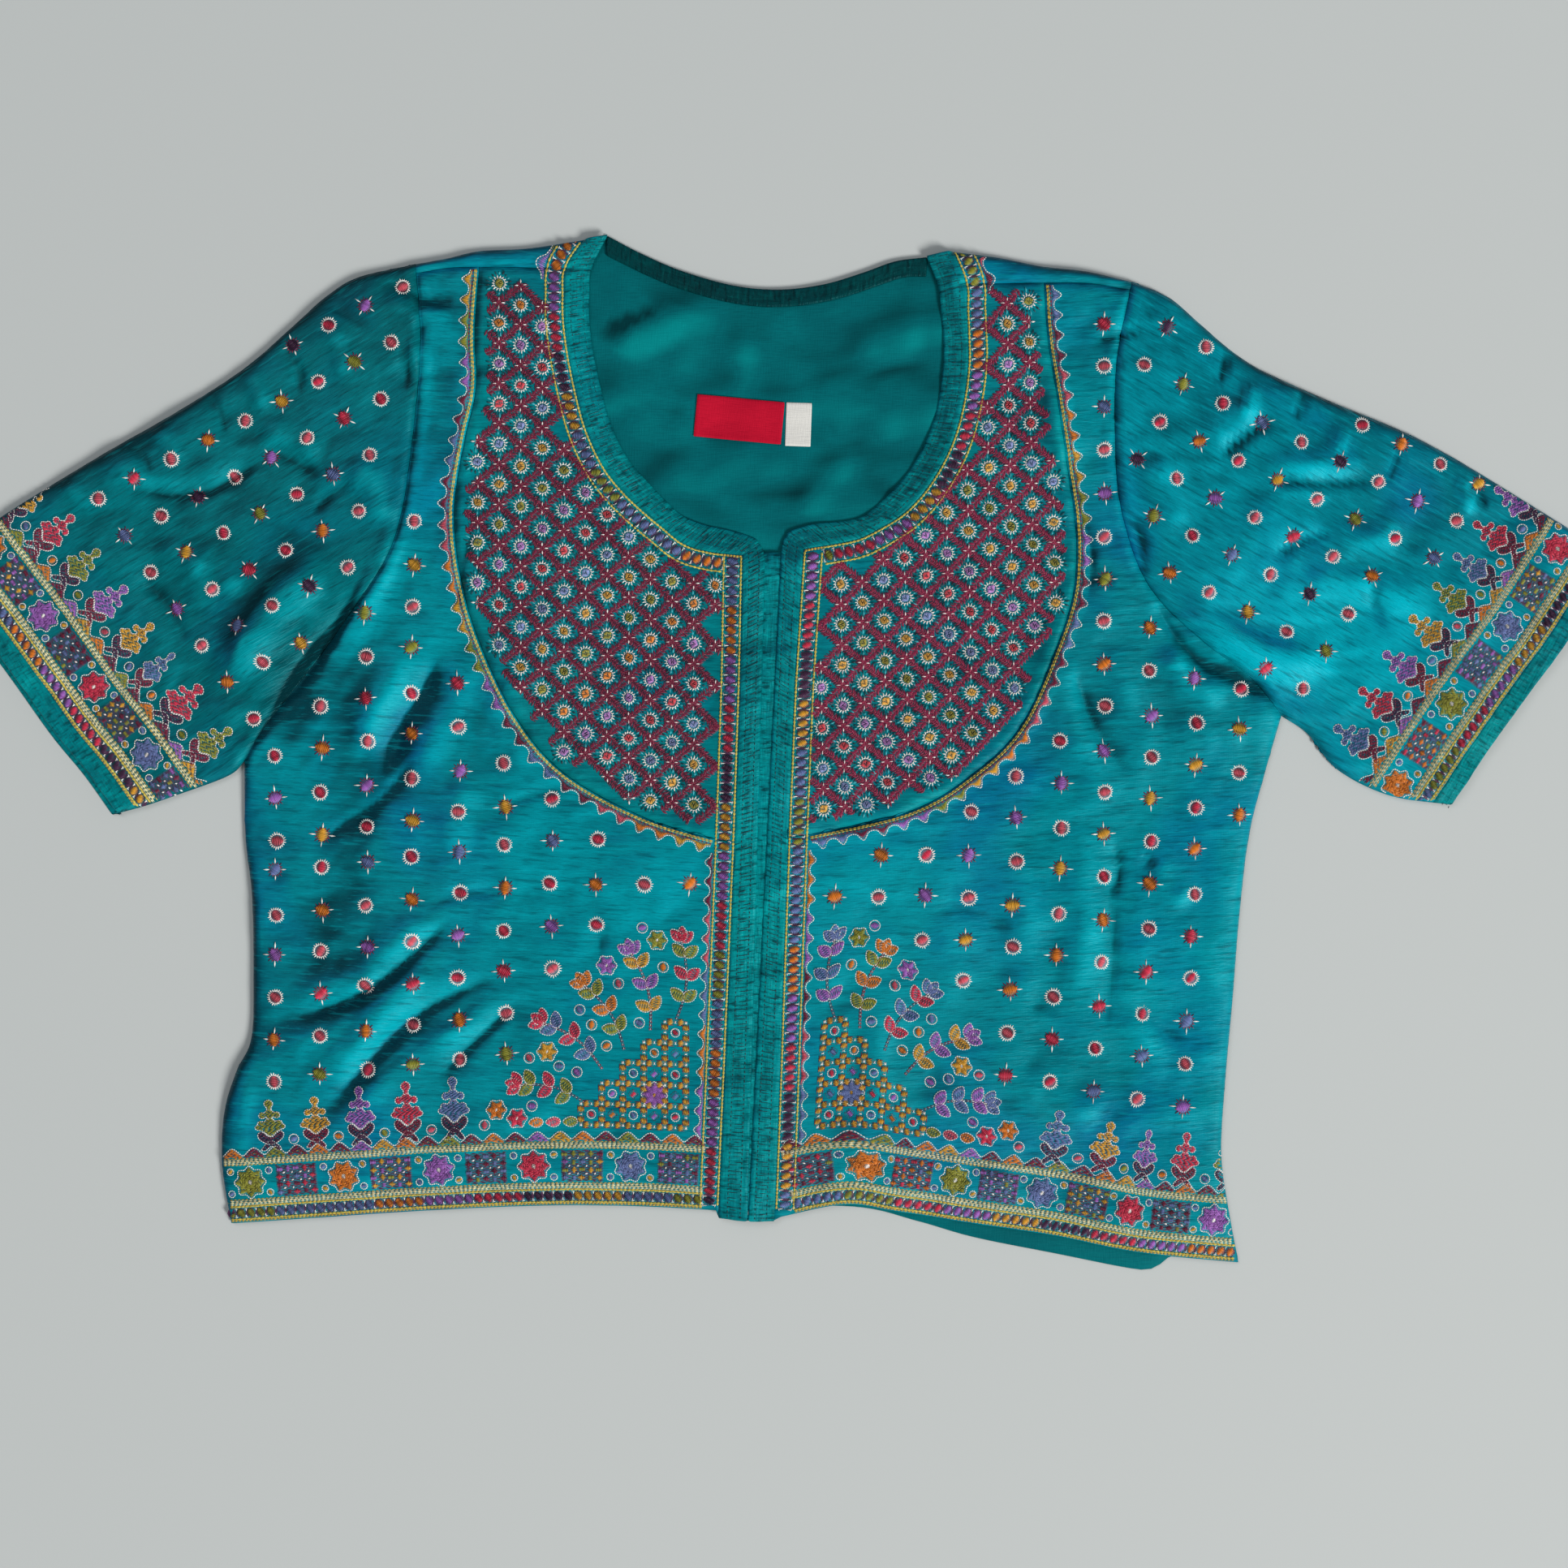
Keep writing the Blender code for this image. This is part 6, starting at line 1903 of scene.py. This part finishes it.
            # dot in the diamond
            if room(c[None], 7.6, 13.4)[0]:
                whole = room(cells[1:], 4.0, 10.0).sum() >= 2
                F = placed(c[0], c[1], RNG.uniform(-0.15, 0.15), RNG.uniform(0.94, 1.06))
                if whole:
                    ang = np.arange(18) * np.pi / 9 + RNG.uniform(0, 0.3)
                    d = np.stack([np.cos(ang), np.sin(ang)], -1)
                    near, far = d * 4.2, d * RNG.uniform(5.8, 7.6, 18)[:, None]
                    for m, hue in enumerate(("night", "aqua", "teal")):
                        nd.sew(F, near[m::3], far[m::3], hue, 1.1, 0.95)
                nd.rays(F, (0, 0), 2.5, RNG.uniform(3.8, 4.7, 15), 15, "white", 0.1, 0.7, 0.98)
                nd.run(F, circle(2.85, 16), "white", 1.15, -0.1, 0.74, 1.0, closed=True)
                nd.fill(F, circle(2.25, 14), ROW[j % len(ROW)], RNG.uniform(0, 3), 0.52, 4, 0.76, 1.2)
                nd.sew(F, [(-0.5, 0)], [(0.5, 0)], "plum", 0.6, 1.15)
    made_threads["lattice_" + s] = nd

    # sleeve: motifs in slanting rows, then the border round the cuff
    nd = Needle()
    if s == "r":
        a_step, b_step, o = np.array([18.45, 9.84]), np.array([13.0, -18.5]), np.array([-339.9, 128.1])
    else:
        a_step, b_step, o = np.array([19.7, -9.84]), np.array([-11.6, -18.9]), np.array([345.0, 117.0])
    ring_ = np.vstack([edge[s, "tip"][None], edge[s, "armhole"], SLEEVE_LINES[s][3],
                       SLEEVE_LINES[s][1][::-1], SLEEVE_LINES[s][2][::-1]])
    arm_line = np.vstack([edge[s, "tip"][None], edge[s, "armhole"]])
    top_under = [SLEEVE_LINES[s][2], SLEEVE_LINES[s][3]]
    cuff_row = CUFF_WAY[s].p
    hues_ = ["olive", "red", "slate", "orange", "plum", "mustard", "purple"]
    for i in range(-14, 15):
        for j in range(-12, 13):
            p = (o + i * a_step + j * b_step)[None]
            if not inside(ring_, p)[0] or clearance(p, arm_line)[0] < 6.0:
                continue
            if min(clearance(p, ln)[0] for ln in top_under) < 5.0 or clearance(p, cuff_row)[0] < (66 if s == "r" else 69):
                continue
            F = placed(*p[0], RNG.uniform(0, 1.5), RNG.uniform(0.94, 1.04))
            if (i + j) % 2 == 0:
                ringed_dot(nd, F, "rose" if RNG.rand() < 0.7 else "red", 0.96)
            else:
                star(nd, F, hues_[(i + 2 * j) % 7], 0.96, 0.5)
    made_threads["sleeve_field_" + s] = nd
    nd = Needle()
    W = CUFF_WAY[s]
    hues_ = ["mustard", "red", "olive", "purple", "mustard", "slate", "red", "olive"] if s == "r" \
        else ["purple", "red", "slate", "olive", "mustard", "purple", "red", "slate"]
    border(nd, W, -1.0, W.length + 15.0, 0.2, 8, 3.0, (W.length - 9.0) / 7, hues_, 2 if s == "r" else 9,
           1 if s == "r" else 3)
    made_threads["cuff_" + s] = nd
    zones["sleeve_field_" + s] = zones["cuff_" + s] = ring_


# ------------------------------ corner pieces: a stepped trellis with a rosette,
# sprigs and buds, of this file's own drawing
def bead_bar(nd, F, a, b, hue="mustard"):
    """A bar of satin beads between plum joints."""
    a, b = np.array(a, float), np.array(b, float)
    L = np.linalg.norm(b - a)
    n = max(1, int(round(L / 5.0)))
    d = (b - a) / L
    nn = np.array([-d[1], d[0]])
    ang = math.atan2(d[1], d[0])
    for k in range(n):
        c = a + d * L * (k + 0.5) / n
        t_ = np.arange(14) * 2 * np.pi / 14
        oval = np.stack([L / n * 0.36 * np.cos(t_), 1.55 * np.sin(t_)], -1)
        nd.fill(F, turned_poly(oval, ang, *c), hue, ang + 0.2, 0.56, 4, 0.72, 0.8)
        nd.sew(F, [c - d * L / n * 0.44 - nn * 1.5, c - d * L / n * 0.44 + nn * 1.5],
               [c + d * L / n * 0.44 - nn * 1.5, c + d * L / n * 0.44 + nn * 1.5], "maroon", 0.5, 0.4)
    for k in range(n + 1):
        c = a + d * L * k / n
        nd.sew(F, [c - 0.9 * nn - 0.5 * d, c + 0.9 * nn - 0.5 * d],
               [c + 0.9 * nn + 0.5 * d, c - 0.9 * nn + 0.5 * d], "white", 0.55, 0.75)


def sprig(nd, F, x, y, a, length, leaves, bud, stem="plum"):
    """A stem with paired leaves and a bud or small flower at its tip."""
    bow = 0.10 * length
    t = np.linspace(0, 1, 9)
    line = np.stack([t * length, bow * np.sin(np.pi * t)], -1)
    p = turned_poly(line, a, x, y)
    nd.chain(F, p, stem, 1.8, 0.75, 0.5, 0.42)
    nd.run(F, p, "white", 2.0, 0.9, 0.4, 0.7)
    for k, hue in enumerate(leaves):
        f = 0.26 + 0.56 * k / max(1, len(leaves) - 1) if len(leaves) > 1 else 0.5
        q = np.array([np.interp(f, t, p[:, m]) for m in (0, 1)])
        for sg in (-1, 1):
            leaf(nd, F, hue, q[0], q[1], a + sg * 0.85, 8.8, 2.9)
    tip = p[-1]
    for sg in (-0.8, 0.0, 0.8):
        leaf(nd, F, bud, tip[0], tip[1], a + sg, 8.0, 2.7)


for s in "rl":
    nd = Needle()
    F = corner_frame(s)
    g_, steps = TRELLIS, STEPS
    for i in range(steps):
        for j in range(steps):
            if i + j >= steps:
                continue
            x, y = i * g_ + 2, j * g_ + 2
            bead_bar(nd, F, (x, y), (x + g_, y))
            bead_bar(nd, F, (x, y), (x, y + g_))
            if i + j == steps - 1:
                bead_bar(nd, F, (x + g_, y), (x + g_, y + g_))
                bead_bar(nd, F, (x, y + g_), (x + g_, y + g_))
            if (i, j) != (1, 1):
                hue = ("red", "purple", "slate", "orange")[(i + 2 * j) % 4]
                c = np.array([x + g_ / 2, y + g_ / 2])
                if (i + j) % 2 == 0:
                    small_ring(nd, lambda q, c=c: F(np.asarray(q) + c),
                               hue, 2.2)
                else:
                    nd.fill(F, c + np.array([(-2, 0), (0, -2), (2, 0), (0, 2)]), hue, 0.7, 0.56, 4, 0.7, 0.6)
                    nd.run(F, c + 1.35 * np.array([(-2, 0), (0, -2), (2, 0), (0, 2)]), "plum", 1.2,
                           0.1, 0.4, 0.35, closed=True)
    c = np.array([2 + 1.5 * g_, 2 + 1.5 * g_])
    flower(nd, lambda q: F(np.asarray(q) + c), "purple" if s == "r" else "slate", 6.6, 8, "mustard")
    reach = 2 + steps * g_
    tones = [("olive", "red"), ("mustard", "purple"), ("olive", "orange"), ("slate", "red")]
    if s == "l":
        tones = [("purple", "slate"), ("olive", "orange"), ("red", "slate"), ("mustard", "purple")]
    # sprigs fan out from the stepped edge
    for u, v, a, size, kind in SPRIGS:
        one, two = tones[kind]
        sprig(nd, F, u, v, math.radians(a), size, [one, two, one], two, ("plum", "maroon")[kind % 2])
    # flowers and rings in the gaps of the fan
    for k, (u, v) in enumerate(CORNER_FLOWERS):
        flower(nd, lambda q, u=u, v=v: F(np.asarray(q) + (u, v)),
               ("mustard", "red", "purple", "olive", "orange")[k % 5], 5.2, 6, "white")
    for k, (u, v) in enumerate(CORNER_RINGS):
        small_ring(nd, lambda q, u=u, v=v: F(np.asarray(q) + (u, v)),
                   ("rose", "slate", "orange", "purple")[k % 4], 2.7)
    # a row of leaves low beside the trellis, over the hills
    for k in range(3):
        u = reach + 4.5 + 8.6 * k
        leaf(nd, F, ("olive", "rose", "orange")[k % 3], u - 2.8, 3.6, 0.0, 7.6, 2.6)
    made_threads["corner_" + s] = nd

# ---------------------------------------- machine stitching on bands and cuffs
def topstitch(nd, lines, pitch, tick, both=True):
    """Rows of short dark stitches, and the small tucks that they draw, shown as raised strokes of dark
    thread: painted shade of the tucks.
    """
    for line in lines:
        nd.run(plain, line, "night", 2.3, 0.7, 0.5, 0.46)
    a, b = lines[0], lines[-1]
    s_ = np.r_[0, np.cumsum(np.linalg.norm(np.diff(a, axis=0), axis=1))]
    t = np.arange(1.5, s_[-1] - 1.0, pitch)
    t = t + RNG.uniform(-0.35, 0.35, len(t)) * pitch
    pa = np.stack([np.interp(t, s_, a[:, k]) for k in (0, 1)], -1)
    pb = np.stack([np.interp(t / s_[-1], np.r_[0, np.cumsum(np.linalg.norm(np.diff(b, axis=0), axis=1))]
                             / np.linalg.norm(np.diff(b, axis=0), axis=1).sum(), b[:, k])
                   for k in (0, 1)], -1)
    # the tucks: strokes of dark thread across the band, painted shade
    f0, f1 = RNG.uniform(-0.25, 0.35, len(t))[:, None], RNG.uniform(0.65, 1.2, len(t))[:, None]
    nd.sew(plain, pa + f0 * (pb - pa), pa + f1 * (pb - pa), "night", 0.42, tick)


seams = {}
for s, kind, g_out, g_in in strips:
    nd = seams.setdefault(s, Needle())
    rows_ = (0.26, 0.52, 0.78) if kind == "neck" else (0.30, 0.76)
    lines = [g_out * (1 - u_) + g_in * u_ for u_ in rows_]
    topstitch(nd, lines, 1.9 if kind == "neck" else 2.3, 0.42)
for s in "rl":
    made_threads["seams_" + s] = seams[s]
    nd = Needle()
    W = CUFF_WAY[s]
    t = np.linspace(1.0, W.length - 1.0, 90)
    for pair in ((-1.6, -4.6), (-4.6, -7.8)):
        topstitch(nd, [W(np.c_[t, np.full(90, d_)]) for d_ in pair], 2.8, 0.3)
    made_threads["cuff_seams_" + s] = nd


def over_band(p):
    return ground(p) + 0.80


for name, nd in made_threads.items():
    nd.piece("embroidery_" + name, zones.get(name),
                                      over_band if name.startswith("seams") else None)


# --------------------------------------------------------- floor, light, camera
def area_light(name, place, aim, size, power, colour):
    lt = bpy.data.lights.new(name, "AREA")
    lt.shape = "DISK"
    lt.size = size
    lt.energy = power
    lt.color = colour
    ob = bpy.data.objects.new(name, lt)
    bpy.context.scene.collection.objects.link(ob)
    ob.location = place
    d = np.array(aim, float) - np.array(place, float)
    from mathutils import Vector
    ob.rotation_euler = Vector(d).to_track_quat("-Z", "Y").to_euler()
    return ob


floor_mat = Nodes("floor_plain")
floor_mat.put(Base_Color=(*srgb(204, 208, 207), 1.0), Roughness=0.85)
floor_mat.put(Specular_IOR_Level=0.1)
me = bpy.data.meshes.new("floor")
me.from_pydata([(-6, -6, -0.0004), (6, -6, -0.0004), (6, 6, -0.0004), (-6, 6, -0.0004)], [], [(0, 1, 2, 3)])
floor = bpy.data.objects.new("floor", me)
me.materials.append(floor_mat.mat)
bpy.context.scene.collection.objects.link(floor)

area_light("key", (4.6, -4.3, 4.6), (0, 0, 0), 2.6, 560, (1.0, 0.985, 0.96))
area_light("fill", (-3.2, 3.4, 6.0), (0, 0, 0), 4.0, 95, (0.93, 0.97, 1.0))
world = bpy.data.worlds.new("studio")
world.use_nodes = True
world.node_tree.nodes["Background"].inputs[0].default_value = (0.93, 0.97, 1.0, 1.0)
world.node_tree.nodes["Background"].inputs[1].default_value = 0.225
bpy.context.scene.world = world
bpy.context.scene.view_settings.view_transform = "Standard"

cam_data = bpy.data.cameras.new("camera")
cam_data.lens = 50
cam_data.sensor_width = 36
cam = bpy.data.objects.new("camera", cam_data)
bpy.context.scene.collection.objects.link(cam)
cam.location = (0.0057, -0.0158, 1.104)
cam.rotation_euler = (0, 0, 0)
bpy.context.scene.camera = cam


for s in "rl":
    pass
